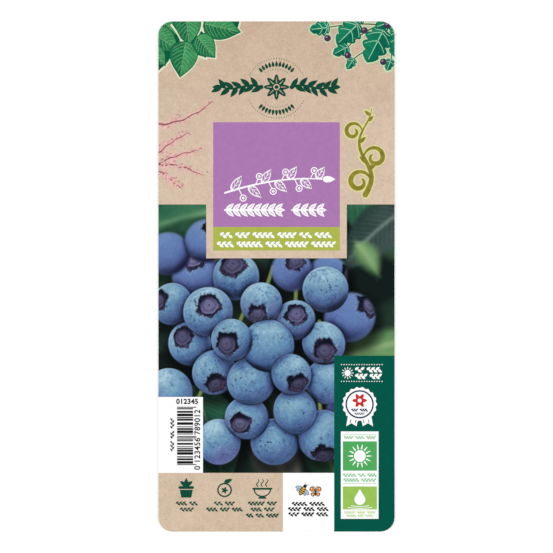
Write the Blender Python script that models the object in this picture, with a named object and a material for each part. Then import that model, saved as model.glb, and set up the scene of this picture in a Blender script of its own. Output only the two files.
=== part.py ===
"""Printed plant label, lying flat on its back with the printed face up.

A thin white plastic card with rounded corners carries a printed face made of
side-by-side colour fields, and thin overprints lie on those fields.
The label is centred on the origin, its top edge points along +Y, its width
runs along X, and its back lies on the plane Z = 0.
"""

import math
import random

import bmesh
import bpy
from mathutils import Vector, geometry

# Units: the print layout below is in millimetres, and the meshes are in metres.
MM = 0.001

# The card: a die-cut white plastic sheet.
LABEL_WIDTH = 100.0
LABEL_LENGTH = 216.0
CORNER_RADIUS = 6.0
CORE_THICKNESS = 0.40
FILM_THICKNESS = 0.10
INK_THICKNESS = 0.02

RIGHT_EDGE = LABEL_WIDTH / 2
LEFT_EDGE = -RIGHT_EDGE
TOP_EDGE = LABEL_LENGTH / 2
BOTTOM_EDGE = -TOP_EDGE

# The colour fields, from the label's centre.
PICTURE_TOP = 30.5
FRAME_HALF_WIDTH = 29.75
FRAME_BOTTOM = 7.7
TITLE_HALF_WIDTH = 26.8
TITLE_TOP = 65.3
CLAIM_TOP = 21.0
CLAIM_BOTTOM = 11.0
FOOT_TOP = -83.15
CODE_RIGHT = -31.15
CODE_TOP = -51.0
SIDE_LEFT = 24.4
SIDE_TOP = -33.5
CARE_RIGHT = 2.7

# Heights of the layers that lie on each other.
FILM_BASE = CORE_THICKNESS
INK_BASE = CORE_THICKNESS + FILM_THICKNESS
SECOND_INK_BASE = INK_BASE + INK_THICKNESS
THIRD_INK_BASE = SECOND_INK_BASE + INK_THICKNESS

# Colours of the print, as linear values of the inks and the bare sheet.
WHITE = (0.90, 0.90, 0.89)
KRAFT = (0.66, 0.51, 0.38)
PURPLE = (0.42, 0.20, 0.45)
LIME = (0.43, 0.48, 0.08)
DARK_GREEN = (0.004, 0.098, 0.065)
BERRY_BLUE = (0.12, 0.22, 0.42)
LEAF_GREEN = (0.025, 0.22, 0.09)
SPRIG_GREEN = (0.005, 0.20, 0.10)
PINK = (0.60, 0.24, 0.33)
OLIVE = (0.30, 0.31, 0.035)
CERTIFICATE_GREEN = (0.085, 0.38, 0.13)
CERTIFICATE_LIME = (0.35, 0.58, 0.09)
BADGE_RED = (0.60, 0.05, 0.05)
INK_BLACK = (0.02, 0.02, 0.02)
AMBER = (0.55, 0.30, 0.08)

# Line quality.
ARC_STEP = math.radians(15)
TAU = 2 * math.pi

# Leaf blades: how full they are near the base, how deep their lobes are cut, and their stalk.
BLADE_FULLNESS = 0.68
LOBE_DEPTH = 0.42
LOBE_ROUNDNESS = 0.6
STALK_LENGTH = 0.45
STALK_HALF_WIDTH = 0.14


def clear_scene():
    for item in list(bpy.data.objects):
        bpy.data.objects.remove(item, do_unlink=True)


def ink(name, colour, roughness=0.45):
    material = bpy.data.materials.new(name)
    material.use_nodes = True
    shader = material.node_tree.nodes["Principled BSDF"]
    shader.inputs["Base Color"].default_value = (*colour, 1.0)
    shader.inputs["Roughness"].default_value = roughness
    shader.inputs["Metallic"].default_value = 0.0
    material.diffuse_color = (*colour, 1.0)
    return material


# Outlines: each is a closed list of points in the print layout.

def arc(centre_x, centre_y, radius, start, end):
    steps = max(2, math.ceil(abs(end - start) / ARC_STEP))
    points = []
    for step in range(steps + 1):
        angle = start + (end - start) * step / steps
        points.append((centre_x + radius * math.cos(angle), centre_y + radius * math.sin(angle)))
    return points


def rectangle(left, right, bottom, top):
    return [(left, bottom), (right, bottom), (right, top), (left, top)]


def rounded_rectangle(left, right, bottom, top, radius):
    outline = arc(right - radius, bottom + radius, radius, -TAU / 4, 0)
    outline += arc(right - radius, top - radius, radius, 0, TAU / 4)
    outline += arc(left + radius, top - radius, radius, TAU / 4, TAU / 2)
    outline += arc(left + radius, bottom + radius, radius, TAU / 2, 3 * TAU / 4)
    return outline


def place(points, base, heading):
    """Points drawn along +X, turned to a heading and moved to their base."""
    cosine = math.cos(heading)
    sine = math.sin(heading)
    return [(base[0] + x * cosine - y * sine, base[1] + x * sine + y * cosine) for x, y in points]


def ray(centre, heading, reach):
    return (centre[0] + reach * math.cos(heading), centre[1] + reach * math.sin(heading))


def ellipse(centre, half_width, half_height, turn=0.0, sides=20):
    points = []
    for side in range(sides):
        angle = TAU * side / sides
        points.append((half_width * math.cos(angle), half_height * math.sin(angle)))
    return place(points, centre, turn)


def petalled_disc(centre, radius, depth, petals, points_per_petal=8):
    count = petals * points_per_petal
    points = []
    for index in range(count):
        angle = TAU * index / count
        reach = radius - depth * (0.5 - 0.5 * math.cos(petals * angle))
        points.append(ray(centre, angle, reach))
    return points


def stroke(path, start_width, end_width, bulge=0.0):
    """A tapered pen stroke along a path, with blunt ends."""
    left_side = []
    right_side = []
    last = len(path) - 1
    for index, (x, y) in enumerate(path):
        before = path[max(index - 1, 0)]
        after = path[min(index + 1, last)]
        heading = math.atan2(after[1] - before[1], after[0] - before[0])
        share = index / last
        width = start_width + (end_width - start_width) * share + bulge * math.sin(math.pi * share)
        across_x = -math.sin(heading) * width / 2
        across_y = math.cos(heading) * width / 2
        left_side.append((x + across_x, y + across_y))
        right_side.append((x - across_x, y - across_y))
    return right_side + left_side[::-1]


def leaf(base, heading, length, width, lobes=0, points_per_side=8):
    """A pointed blade, with round lobes if it has any, on a short stalk sunk into its stem."""
    edge = [(-STALK_LENGTH, STALK_HALF_WIDTH)]
    for index in range(1, points_per_side):
        share = index / points_per_side
        half = width / 2 * math.sin(math.pi * share ** BLADE_FULLNESS) ** BLADE_FULLNESS
        if lobes:
            notch = 1.0 - abs(math.sin(math.pi * lobes * share)) ** LOBE_ROUNDNESS
            half *= 1.0 - LOBE_DEPTH * notch
        edge.append((share * length, half))
    outline = [(x, -y) for x, y in edge] + [(length, 0.0)] + edge[::-1]
    return place(outline, base, heading)


def bend(start, control, end, steps=10):
    """Points along a quadratic curve."""
    points = []
    for step in range(steps + 1):
        t = step / steps
        a = (1 - t) ** 2
        b = 2 * t * (1 - t)
        c = t ** 2
        points.append((
            a * start[0] + b * control[0] + c * end[0],
            a * start[1] + b * control[1] + c * end[1],
        ))
    return points


def curl(centre, outer_radius, inner_radius, start, turns, steps=22):
    """A spiral that winds in from its outer radius to its inner one."""
    points = []
    for step in range(steps + 1):
        share = step / steps
        radius = outer_radius + (inner_radius - outer_radius) * share
        points.append(ray(centre, start + turns * TAU * share, radius))
    return points


def leaf_rope(path, count, length, width, lean):
    """Leaves that spring from a path in turn to its left and its right, leaning forward."""
    leaves = []
    last = len(path) - 1
    for number in range(count):
        index = round(last * number / (count - 1))
        before = path[max(index - 1, 0)]
        after = path[min(index + 1, last)]
        heading = math.atan2(after[1] - before[1], after[0] - before[0])
        heading += lean if number % 2 == 0 else -lean
        leaves.append(leaf(path[index], heading, length, width))
    return leaves


# Solids: every sub-part is a flat prism on its layer.

def add_flat_solid(name, form, top, material):
    """Raise a flat sheet of faces up to its top, and make it an object."""
    grown = bmesh.ops.extrude_face_region(form, geom=list(form.faces))
    for item in grown["geom"]:
        if isinstance(item, bmesh.types.BMVert):
            item.co.z = top * MM
    bmesh.ops.recalc_face_normals(form, faces=form.faces)
    mesh = bpy.data.meshes.new(name)
    form.to_mesh(mesh)
    form.free()
    mesh.materials.append(material)
    bpy.context.scene.collection.objects.link(bpy.data.objects.new(name, mesh))


def plate(name, outline, base, thickness, material):
    """One outline filled between two heights."""
    form = bmesh.new()
    form.faces.new([form.verts.new((x * MM, y * MM, base * MM)) for x, y in outline])
    add_flat_solid(name, form, base + thickness, material)


def largest_patch(triangles):
    """The biggest set of triangles that hang together along their edges."""
    sharing = {}
    for index, corners in enumerate(triangles):
        for corner in range(3):
            edge = frozenset((corners[corner], corners[(corner + 1) % 3]))
            sharing.setdefault(edge, []).append(index)
    neighbours = [[] for _ in triangles]
    for members in sharing.values():
        for index in members:
            neighbours[index].extend(other for other in members if other != index)
    unseen = set(range(len(triangles)))
    best = []
    while unseen:
        patch = [unseen.pop()]
        for index in patch:
            fresh = [other for other in neighbours[index] if other in unseen]
            unseen.difference_update(fresh)
            patch.extend(dict.fromkeys(fresh))
        if len(patch) > len(best):
            best = patch
    return [triangles[index] for index in sorted(best)]


def joined_print(name, outlines, base, material, trim=None):
    """Overlapping outlines printed as one piece of ink, cut off at the trim outline."""
    every_outline = outlines + ([trim] if trim else [])
    corners = []
    loops = []
    for outline in every_outline:
        first = len(corners)
        corners.extend(Vector(point) for point in outline)
        loops.append(list(range(first, len(corners))))
    inside_triangles = 1
    merge_distance = 0.004
    laid = geometry.delaunay_2d_cdt(corners, [], loops, inside_triangles, merge_distance, True)
    points, _, triangles, _, _, sources = laid
    trim_index = len(outlines)
    kept = []
    for triangle, owners in zip(triangles, sources):
        printed = any(owner < trim_index for owner in owners)
        on_label = not trim or trim_index in owners
        if printed and on_label:
            kept.append(triangle)
    form = bmesh.new()
    placed = {}
    for triangle in largest_patch(kept):
        for index in triangle:
            if index not in placed:
                x, y = points[index]
                placed[index] = form.verts.new((x * MM, y * MM, base * MM))
        form.faces.new([placed[index] for index in triangle])
    bmesh.ops.recalc_face_normals(form, faces=form.faces)
    add_flat_solid(name, form, base + INK_THICKNESS, material)


def label_outline():
    return rounded_rectangle(LEFT_EDGE, RIGHT_EDGE, BOTTOM_EDGE, TOP_EDGE, CORNER_RADIUS)


# The card and its colour fields.

def make_core():
    plate("card_core", label_outline(), 0.0, CORE_THICKNESS, ink("core_white", WHITE, 0.40))


def make_kraft_face():
    radius = CORNER_RADIUS
    outline = [
        (LEFT_EDGE, PICTURE_TOP),
        (-FRAME_HALF_WIDTH, PICTURE_TOP),
        (-FRAME_HALF_WIDTH, FRAME_BOTTOM),
        (FRAME_HALF_WIDTH, FRAME_BOTTOM),
        (FRAME_HALF_WIDTH, PICTURE_TOP),
        (RIGHT_EDGE, PICTURE_TOP),
    ]
    outline += arc(RIGHT_EDGE - radius, TOP_EDGE - radius, radius, 0, TAU / 4)
    outline += arc(LEFT_EDGE + radius, TOP_EDGE - radius, radius, TAU / 4, TAU / 2)
    plate("kraft_face", outline, FILM_BASE, FILM_THICKNESS, ink("kraft", KRAFT, 0.55))


def make_picture_panel():
    outline = [
        (LEFT_EDGE, PICTURE_TOP),
        (LEFT_EDGE, CODE_TOP),
        (CODE_RIGHT, CODE_TOP),
        (CODE_RIGHT, FOOT_TOP),
        (SIDE_LEFT, FOOT_TOP),
        (SIDE_LEFT, SIDE_TOP),
        (RIGHT_EDGE, SIDE_TOP),
        (RIGHT_EDGE, PICTURE_TOP),
        (FRAME_HALF_WIDTH, PICTURE_TOP),
        (FRAME_HALF_WIDTH, FRAME_BOTTOM),
        (-FRAME_HALF_WIDTH, FRAME_BOTTOM),
        (-FRAME_HALF_WIDTH, PICTURE_TOP),
    ]
    plate("picture_panel", outline, FILM_BASE, FILM_THICKNESS, ink("picture", BERRY_BLUE))


def make_foot_fields():
    radius = CORNER_RADIUS
    code = rectangle(LEFT_EDGE, CODE_RIGHT, FOOT_TOP, CODE_TOP)
    plate("barcode_field", code, FILM_BASE, FILM_THICKNESS, ink("code_white", WHITE))
    care = [(CARE_RIGHT, BOTTOM_EDGE), (CARE_RIGHT, FOOT_TOP), (LEFT_EDGE, FOOT_TOP)]
    care += arc(LEFT_EDGE + radius, BOTTOM_EDGE + radius, radius, TAU / 2, 3 * TAU / 4)
    plate("care_strip", care, FILM_BASE, FILM_THICKNESS, ink("care_kraft", KRAFT, 0.55))
    visitors = rectangle(CARE_RIGHT, SIDE_LEFT, BOTTOM_EDGE, FOOT_TOP)
    plate("pollinator_field", visitors, FILM_BASE, FILM_THICKNESS, ink("pollinator_white", WHITE))
    side = [(RIGHT_EDGE, SIDE_TOP), (SIDE_LEFT, SIDE_TOP), (SIDE_LEFT, BOTTOM_EDGE)]
    side += arc(RIGHT_EDGE - radius, BOTTOM_EDGE + radius, radius, 3 * TAU / 4, TAU)
    plate("side_panel", side, FILM_BASE, FILM_THICKNESS, ink("side_green", DARK_GREEN))


# The title block on the kraft face.

def make_title_block():
    title = rectangle(-TITLE_HALF_WIDTH, TITLE_HALF_WIDTH, CLAIM_TOP, TITLE_TOP)
    plate("title_panel", title, INK_BASE, INK_THICKNESS, ink("title_purple", PURPLE))
    claim = rectangle(-TITLE_HALF_WIDTH, TITLE_HALF_WIDTH, CLAIM_BOTTOM, CLAIM_TOP)
    plate("claim_band", claim, INK_BASE, INK_THICKNESS, ink("claim_lime", LIME))


def make_title_sprig():
    """A thin white branch with leaves and ringed berries across the title panel."""
    steps = 30
    path = bend((-21.8, 35.4), (0.0, 42.6), (19.6, 41.2), steps)
    outlines = [stroke(path, 0.8, 0.45)]
    leaf_count = 7
    rise = 0.12
    for number in range(leaf_count):
        share = 0.08 + 0.14 * number
        side = 1 if number % 2 == 0 else -1
        heading = rise + side * math.radians(50)
        outlines.append(leaf(path[round(share * steps)], heading, 7.8 - 1.8 * share, 3.5))
    outlines.append(leaf(path[-1], 0.0, 5.4, 2.7))
    berry_radius = 1.5
    berry_stalk_width = 0.38
    for number in range(leaf_count - 1):
        share = 0.15 + 0.14 * number
        side = -1 if number % 2 == 0 else 1
        root = path[round(share * steps)]
        reach = 4.4 if side < 0 else 3.8
        berry = ray(root, side * math.radians(64), reach)
        outlines.append(stroke([root, berry], berry_stalk_width, berry_stalk_width))
        outlines.append(ellipse(berry, berry_radius, berry_radius))
    joined_print("title_sprig", outlines, SECOND_INK_BASE, ink("sprig_white", WHITE))


def make_title_bars():
    """Two bold laurels side by side, each a stem with pairs of leaves and one leaf at its tip."""
    laurel_y = 28.15
    tip_length = 4.2
    bare_stem = 0.6
    lean = math.radians(42)
    laurels = ((-21.8, 3.8, 8), (6.6, 21.4, 4))
    for number, (left, right, pairs) in enumerate(laurels, start=1):
        run = right - left - tip_length - bare_stem
        path = [(left + bare_stem + run * pair / (pairs - 1), laurel_y) for pair in range(pairs)]
        outlines = [stroke([(left, laurel_y)] + path, 0.8, 0.6)]
        for root in path:
            outlines.append(leaf(root, lean, 4.3, 1.85))
            outlines.append(leaf(root, -lean, 4.3, 1.85))
        outlines.append(leaf(path[-1], 0.0, tip_length, 1.9))
        name = f"title_bar_{number}"
        joined_print(name, outlines, SECOND_INK_BASE, ink(name, WHITE))


# Ornaments printed straight on the kraft face.

EMBLEM_Y = 80.2


def make_emblem():
    """A flower between two garlands."""
    flower = petalled_disc((0.0, EMBLEM_Y), 5.4, 2.3, 8)
    plate("emblem_flower", flower, INK_BASE, INK_THICKNESS, ink("emblem_green", DARK_GREEN))
    garland_start = 6.5
    garland_end = 23.4
    wave_height = 0.7
    leaf_count = 11
    leaf_lean = math.radians(42)
    steps = 20
    for name, side in (("emblem_vine_left", -1), ("emblem_vine_right", 1)):
        path = []
        for step in range(steps + 1):
            share = step / steps
            x = garland_start + (garland_end - garland_start) * share
            path.append((side * x, EMBLEM_Y + wave_height * math.sin(TAU * share)))
        outlines = [stroke(path, 1.1, 0.7), ellipse(path[0], 0.95, 0.95)]
        outlines += leaf_rope(path, leaf_count, 4.9, 2.1, leaf_lean)
        outlines.append(leaf(path[-1], 0.0 if side > 0 else math.pi, 3.9, 2.1))
        joined_print(name, outlines, INK_BASE, ink(name, DARK_GREEN))


def make_corner_leaves_left():
    """Broad overlapping leaves that hang in from the corner, cut off at the label's edge."""
    leaves = (
        ((-46, 110), -80, 15, 10.5),
        ((-26, 110.5), -104, 10.5, 8.5),
        ((-37, 104), -58, 13.5, 9.5),
        ((-48.5, 99), -97, 12, 9),
        ((-20.5, 111.5), -66, 8.5, 7),
        ((-43, 97), -64, 10, 8),
        ((-51.5, 111), -42, 13, 10.5),
        ((-38.5, 112.5), -84, 14.5, 11.5),
        ((-30.5, 107), -13, 15.5, 10.5),
        ((-53, 103.5), -34, 13.5, 10.5),
        ((-38.4, 99.4), -99, 15, 11.5),
        ((-33.6, 101.6), -50, 11.5, 8.8),
        ((-53.5, 96.5), -48, 9.5, 7.5),
    )
    outlines = []
    for base, degrees, length, width in leaves:
        outlines.append(leaf(base, math.radians(degrees), length, width, points_per_side=14))
    material = ink("leaf_green", LEAF_GREEN)
    joined_print("corner_leaves_left", outlines, INK_BASE, material, label_outline())


def make_corner_leaves_right():
    """Thin stems with lobed leaves and berries, cut off at the label's edge."""
    stems = (
        ((53, 104), (41, 109), (21.5, 105.4)),
        ((44, 106.4), (36, 104), (30, 96.8)),
        ((52.5, 101), (48.5, 98), (48.6, 91.6)),
        ((41, 96), (36, 95.5), (32.5, 91.8)),
    )
    leaves = (
        ((37.5, 109.5), 172, 8.5, 7.0),
        ((50, 108.5), 200, 8.5, 7.0),
        ((22.4, 105.5), 187, 8.2, 6.4),
        ((34.8, 107.2), 224, 12.6, 10.2),
        ((51.8, 104.5), 262, 11.5, 9.6),
        ((45.4, 104.6), 243, 15.4, 12.0),
        ((30.4, 97.4), 208, 7.0, 5.6),
        ((48.6, 92.2), 250, 5.4, 4.4),
        ((32.8, 92.2), 236, 5.0, 4.0),
    )
    berries = ((37.2, 104.2), (45.2, 90.9), (30.2, 93.6), (46.9, 106.4))
    berry_radius = 1.4
    lobes = 4
    outlines = [stroke(bend(*points), 0.62, 0.42) for points in stems]
    for base, degrees, length, width in leaves:
        outlines.append(leaf(base, math.radians(degrees), length, width, lobes, points_per_side=24))
    outlines += [ellipse(berry, berry_radius, berry_radius) for berry in berries]
    material = ink("sprig_green", SPRIG_GREEN)
    joined_print("corner_leaves_right", outlines, INK_BASE, material, label_outline())


def make_pink_twig():
    """Fine twigs with buds that grow in from an upright stem along the left edge."""
    draw = random.Random(7)
    twigs = (
        ((-52, 64.5), (-40, 63.5), (-26.8, 74.2), 0.72),
        ((-52, 50.5), (-44, 58), (-37.5, 60.5), 0.52),
        ((-52, 46.5), (-44, 51.5), (-31.5, 54.0), 0.55),
        ((-52, 47.0), (-41, 48.5), (-31.0, 42.5), 0.66),
        ((-52, 46.0), (-47, 43.5), (-40.5, 37.2), 0.5),
    )
    tip_width = 0.24
    edge_stem = bend((LEFT_EDGE, 43.0), (LEFT_EDGE + 0.3, 54.0), (LEFT_EDGE, 66.0))
    outlines = [stroke(edge_stem, 1.0, 1.0)]
    bud_radius = 0.5
    for start, control, end, width in twigs:
        path = bend(start, control, end, steps=12)
        outlines.append(stroke(path, width, tip_width))
        for index in range(4, 12, 2):
            before = path[index - 1]
            x, y = path[index]
            side = 1 if index % 4 == 0 else -1
            heading = math.atan2(y - before[1], x - before[0]) + side * math.radians(draw.uniform(32, 48))
            bud = ray((x, y), heading, draw.uniform(1.4, 2.6))
            outlines.append(stroke([(x, y), bud], 0.32, 0.26))
            outlines.append(ellipse(bud, bud_radius, bud_radius, sides=8))
    joined_print("pink_twig", outlines, INK_BASE, ink("twig_pink", PINK, 0.5), label_outline())


def make_flourish():
    """A climbing tendril with three curls and a few leaves, beside the title panel."""
    middle_x = 37.6
    foot_y = 34.6
    rise = 36.6
    sway = 2.6
    sway_turns = 1.25
    steps = 40
    stem = []
    for step in range(steps + 1):
        share = step / steps
        stem.append((middle_x + sway * math.sin(TAU * sway_turns * share), foot_y + rise * share))
    outlines = [stroke(stem, 2.5, 0.4)]
    curls = ((0.15, -1, 5.0, 1.5), (0.44, 1, 4.7, 1.35), (0.73, -1, 3.9, 1.05))
    inner_share = 0.34
    curl_turns = 1.12
    for share, side, radius, bulge in curls:
        x, y = stem[round(share * steps)]
        start = math.pi if side > 0 else 0.0
        path = curl((x + side * radius, y), radius, radius * inner_share, start, -side * curl_turns)
        outlines.append(stroke(path, 0.7, 0.75, bulge))
    leaves = ((0.30, 1), (0.37, -1), (0.60, 1), (0.85, 1), (0.92, -1))
    for share, side in leaves:
        heading = math.pi / 2 - side * math.radians(48)
        outlines.append(leaf(stem[round(share * steps)], heading, 5.2 - 2.0 * share, 2.1 - 0.6 * share))
    joined_print("flourish", outlines, INK_BASE, ink("flourish_olive", OLIVE))


# The barcode.

def make_barcode():
    """Generic stripes: the widths follow a plain counting rule and encode nothing."""
    bars_left = -42.1
    bars_right = -35.3
    guard_right = -33.9
    code_top = -55.2
    code_length = 24.6
    bar_count = 24
    guards = (0, 11, 12, bar_count - 1)
    widths = []
    for count in range(bar_count):
        bar = 1 if count in guards else 1 + (count * 3 + count // 4) % 3
        gap = 1 if count in guards else 1 + (count * 5 + count // 3) % 3
        widths.append((bar, gap))
    module = code_length / (sum(bar + gap for bar, gap in widths) - widths[-1][1])
    top = code_top
    for count, (bar, gap) in enumerate(widths):
        right = guard_right if count in guards else bars_right
        name = f"code_bar_{count + 1:02d}"
        outline = rectangle(bars_left, right, top - bar * module, top)
        plate(name, outline, INK_BASE, INK_THICKNESS, ink(name, INK_BLACK))
        top -= (bar + gap) * module


# Pictograms in the foot.

CARE_ICON_Y = -89.8


def rounded_bar(left, right, bottom, top):
    """A flat bar with round ends."""
    radius = (top - bottom) / 2
    middle = (top + bottom) / 2
    outline = arc(right - radius, middle, radius, -TAU / 4, TAU / 4)
    outline += arc(left + radius, middle, radius, TAU / 4, 3 * TAU / 4)
    return outline


def make_pot_icon():
    """A planted pot with three leaves."""
    x = -38.2
    y = CARE_ICON_Y
    pot = [(x - 2.1, y - 3.8), (x + 2.1, y - 3.8), (x + 2.75, y), (x - 2.75, y)]
    rim = rounded_bar(x - 3.3, x + 3.3, y - 0.15, y + 1.05)
    leaves = [leaf((x, y + 1.2), math.radians(degrees), 3.4, 1.7) for degrees in (36, 90, 144)]
    joined_print("pot_icon", [pot, rim] + leaves, INK_BASE, ink("pot_icon", DARK_GREEN))


def make_fruit_icon():
    x = -22.0
    y = CARE_ICON_Y - 0.6
    fruit = ellipse((x, y), 3.15, 3.05, sides=28)
    stalk = stroke([(x, y + 2.6), (x + 0.15, y + 3.5), (x + 0.6, y + 4.3)], 0.6, 0.5)
    blade = leaf((x + 0.25, y + 3.3), math.radians(22), 3.4, 1.7)
    joined_print("fruit_icon", [fruit, stalk, blade], INK_BASE, ink("fruit_icon", DARK_GREEN))


def make_bowl_icon():
    """A steaming bowl, its steam in three wavering lines that rise from the rim."""
    x = -6.0
    y = CARE_ICON_Y
    bowl_radius = 3.8
    bowl = arc(x, y, bowl_radius, TAU / 2, TAU)
    rim = rounded_bar(x - 4.3, x + 4.3, y - 0.4, y + 0.35)
    foot = rounded_bar(x - 1.7, x + 1.7, y - 4.3, y - 3.5)
    outlines = [bowl, rim, foot]
    steam_width = 0.42
    for steam_x in (x - 1.9, x, x + 1.9):
        lower = bend((steam_x, y + 0.1), (steam_x - 1.3, y + 1.5), (steam_x + 0.1, y + 2.6), steps=6)
        upper = bend((steam_x + 0.1, y + 2.6), (steam_x + 0.8, y + 3.2), (steam_x + 0.1, y + 3.9), steps=6)
        outlines.append(stroke(lower + upper[1:], steam_width, steam_width))
    joined_print("bowl_icon", outlines, INK_BASE, ink("bowl_icon", DARK_GREEN))


def make_bee_icon():
    """A bee seen from above: body, head and two pairs of wings."""
    middle = (10.9, -90.7)
    turn = math.radians(58)
    outlines = [ellipse(middle, 2.15, 1.15, turn)]
    head = place([(2.25, 0.0)], middle, turn)[0]
    outlines.append(ellipse(head, 0.78, 0.72, turn, sides=12))
    wings = ((0.5, 1.8, 1.65, 0.8, 1.95), (-0.5, 1.4, 1.1, 0.56, 2.3))
    for along, out, half_length, half_width, sweep in wings:
        for side in (-1, 1):
            spot = place([(along, side * out)], middle, turn)[0]
            outlines.append(ellipse(spot, half_length, half_width, turn + side * sweep, sides=14))
    joined_print("bee_icon", outlines, INK_BASE, ink("bee_icon", INK_BLACK))


def make_butterfly_icon():
    """A butterfly with its wings spread: each wing is a blade whose point lies in the body."""
    x = 16.5
    y = -91.3
    outlines = [ellipse((x, y), 0.28, 1.7, sides=12)]
    wings = ((0.2, 2.9, 2.2, math.radians(42)), (-0.1, 2.3, 1.8, math.radians(-42)))
    for lift, length, width, rise in wings:
        for heading in (rise, math.pi - rise):
            outer_end = ray((x, y + lift), heading, length)
            outlines.append(leaf(outer_end, heading + math.pi, length, width))
    joined_print("butterfly_icon", outlines, INK_BASE, ink("butterfly_icon", AMBER))


# The round badge and the certificate on the side panel.

def make_badge():
    """A white rosette with two ribbon tails and a red flower in its middle."""
    x = 35.2
    y = -54.1
    rosette = petalled_disc((x, y), 7.4, 0.55, 18, points_per_petal=6)
    tail = [(0.5, -5.0), (1.3, -9.3), (3.5, -8.0), (5.7, -9.3), (4.9, -4.6)]
    right_tail = [(x + across, y + up) for across, up in tail]
    left_tail = [(x - across, y + up) for across, up in tail[::-1]]
    outlines = [rosette, right_tail, left_tail]
    joined_print("badge_rosette", outlines, INK_BASE, ink("badge_white", WHITE))
    flower = petalled_disc((x, y + 1.6), 3.1, 1.35, 6)
    plate("badge_centre", flower, SECOND_INK_BASE, INK_THICKNESS, ink("badge_red", BADGE_RED))


def make_certificate():
    panel = rectangle(27.25, 43.2, -102.6, -65.6)
    plate("certificate_panel", panel, INK_BASE, INK_THICKNESS, ink("certificate_white", WHITE))
    block_left = 28.1
    block_right = 42.5
    sun_block = rectangle(block_left, block_right, -82.2, -69.8)
    material = ink("certificate_green", CERTIFICATE_GREEN)
    plate("certificate_sun_block", sun_block, SECOND_INK_BASE, INK_THICKNESS, material)
    drop_block = rectangle(block_left, block_right, -98.6, -88.9)
    material = ink("certificate_lime", CERTIFICATE_LIME)
    plate("certificate_drop_block", drop_block, SECOND_INK_BASE, INK_THICKNESS, material)
    middle_x = (block_left + block_right) / 2
    sun_middle = (middle_x, -76.0)
    sun_radius = 2.5
    ray_count = 14
    sun = [ellipse(sun_middle, sun_radius, sun_radius, sides=28)]
    for number in range(ray_count):
        heading = TAU * number / ray_count
        ray_root = ray(sun_middle, heading, sun_radius - 0.3)
        sun.append(stroke([ray_root, ray(sun_middle, heading, 4.9)], 0.8, 0.3))
    joined_print("certificate_sun", sun, THIRD_INK_BASE, ink("sun_white", WHITE))
    drop_y = -94.4
    drop = arc(middle_x, drop_y, 2.3, math.radians(140), math.radians(400)) + [(middle_x, drop_y + 4.4)]
    plate("certificate_drop", drop, THIRD_INK_BASE, INK_THICKNESS, ink("drop_white", WHITE))


clear_scene()
make_core()
make_kraft_face()
make_picture_panel()
make_foot_fields()
make_title_block()
make_title_sprig()
make_title_bars()
make_emblem()
make_corner_leaves_left()
make_corner_leaves_right()
make_pink_twig()
make_flourish()
make_barcode()
make_pot_icon()
make_fruit_icon()
make_bowl_icon()
make_bee_icon()
make_butterfly_icon()
make_badge()
make_certificate()
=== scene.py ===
"""A printed plant label, lying flat on a pale table under soft studio light."""

import math

import bmesh
import bpy
import numpy as np
from mathutils import Matrix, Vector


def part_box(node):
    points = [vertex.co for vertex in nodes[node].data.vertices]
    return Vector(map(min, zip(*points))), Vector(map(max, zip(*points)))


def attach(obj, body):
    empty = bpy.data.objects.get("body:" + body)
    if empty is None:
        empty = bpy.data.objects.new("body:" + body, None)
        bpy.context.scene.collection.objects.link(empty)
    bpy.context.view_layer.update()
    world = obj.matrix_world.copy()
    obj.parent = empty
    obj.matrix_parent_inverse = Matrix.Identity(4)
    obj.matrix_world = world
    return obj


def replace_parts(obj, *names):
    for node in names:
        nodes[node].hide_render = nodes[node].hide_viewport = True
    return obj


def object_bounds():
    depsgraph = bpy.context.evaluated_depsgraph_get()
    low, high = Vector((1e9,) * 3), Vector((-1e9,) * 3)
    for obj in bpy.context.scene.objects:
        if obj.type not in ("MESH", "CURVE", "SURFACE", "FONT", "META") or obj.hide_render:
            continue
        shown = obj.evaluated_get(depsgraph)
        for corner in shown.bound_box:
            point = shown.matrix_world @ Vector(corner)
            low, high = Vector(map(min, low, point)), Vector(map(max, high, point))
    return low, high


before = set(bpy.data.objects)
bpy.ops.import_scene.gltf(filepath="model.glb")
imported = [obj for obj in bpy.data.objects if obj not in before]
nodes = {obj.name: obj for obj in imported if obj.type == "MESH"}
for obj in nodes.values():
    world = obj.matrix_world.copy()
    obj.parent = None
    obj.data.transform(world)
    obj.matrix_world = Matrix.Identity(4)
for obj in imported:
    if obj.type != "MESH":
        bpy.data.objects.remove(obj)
solid_low, solid_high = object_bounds()

# The view, the table and the lights.
# The label lies on a white table and is looked at from straight above, through a long lens,
# between two wide lamps that stand off to the sides so that the varnish shows no hot spot.
MM = 0.001
label_middle = (solid_low + solid_high) / 2
picture_side = 553
label_length_in_picture = 510.2
view_height = (solid_high.y - solid_low.y) * picture_side / label_length_in_picture


def stand(name, data):
    """Put a new thing into the scene."""
    thing = bpy.data.objects.new(name, data)
    bpy.context.scene.collection.objects.link(thing)
    return thing


lens = bpy.data.cameras.new("view")
lens.lens = 180.0
lens.sensor_width = 36.0
camera = stand("view", lens)
camera_height = view_height * lens.lens / lens.sensor_width
camera.location = (label_middle.x, label_middle.y, solid_high.z + camera_height)
bpy.context.scene.camera = camera

table_mesh = bpy.data.meshes.new("table")
table_form = bmesh.new()
bmesh.ops.create_grid(table_form, x_segments=1, y_segments=1, size=3.0)
table_form.to_mesh(table_mesh)
table_form.free()
table = stand("table", table_mesh)
table.location.z = solid_low.z - 0.02 * MM
table_paint = bpy.data.materials.new("table")
table_paint.use_nodes = True
table_shader = table_paint.node_tree.nodes["Principled BSDF"]
table_shader.inputs["Base Color"].default_value = (0.98, 0.98, 0.98, 1.0)
table_shader.inputs["Roughness"].default_value = 0.9
table_shader.inputs["Specular IOR Level"].default_value = 0.0
table_mesh.materials.append(table_paint)

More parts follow.
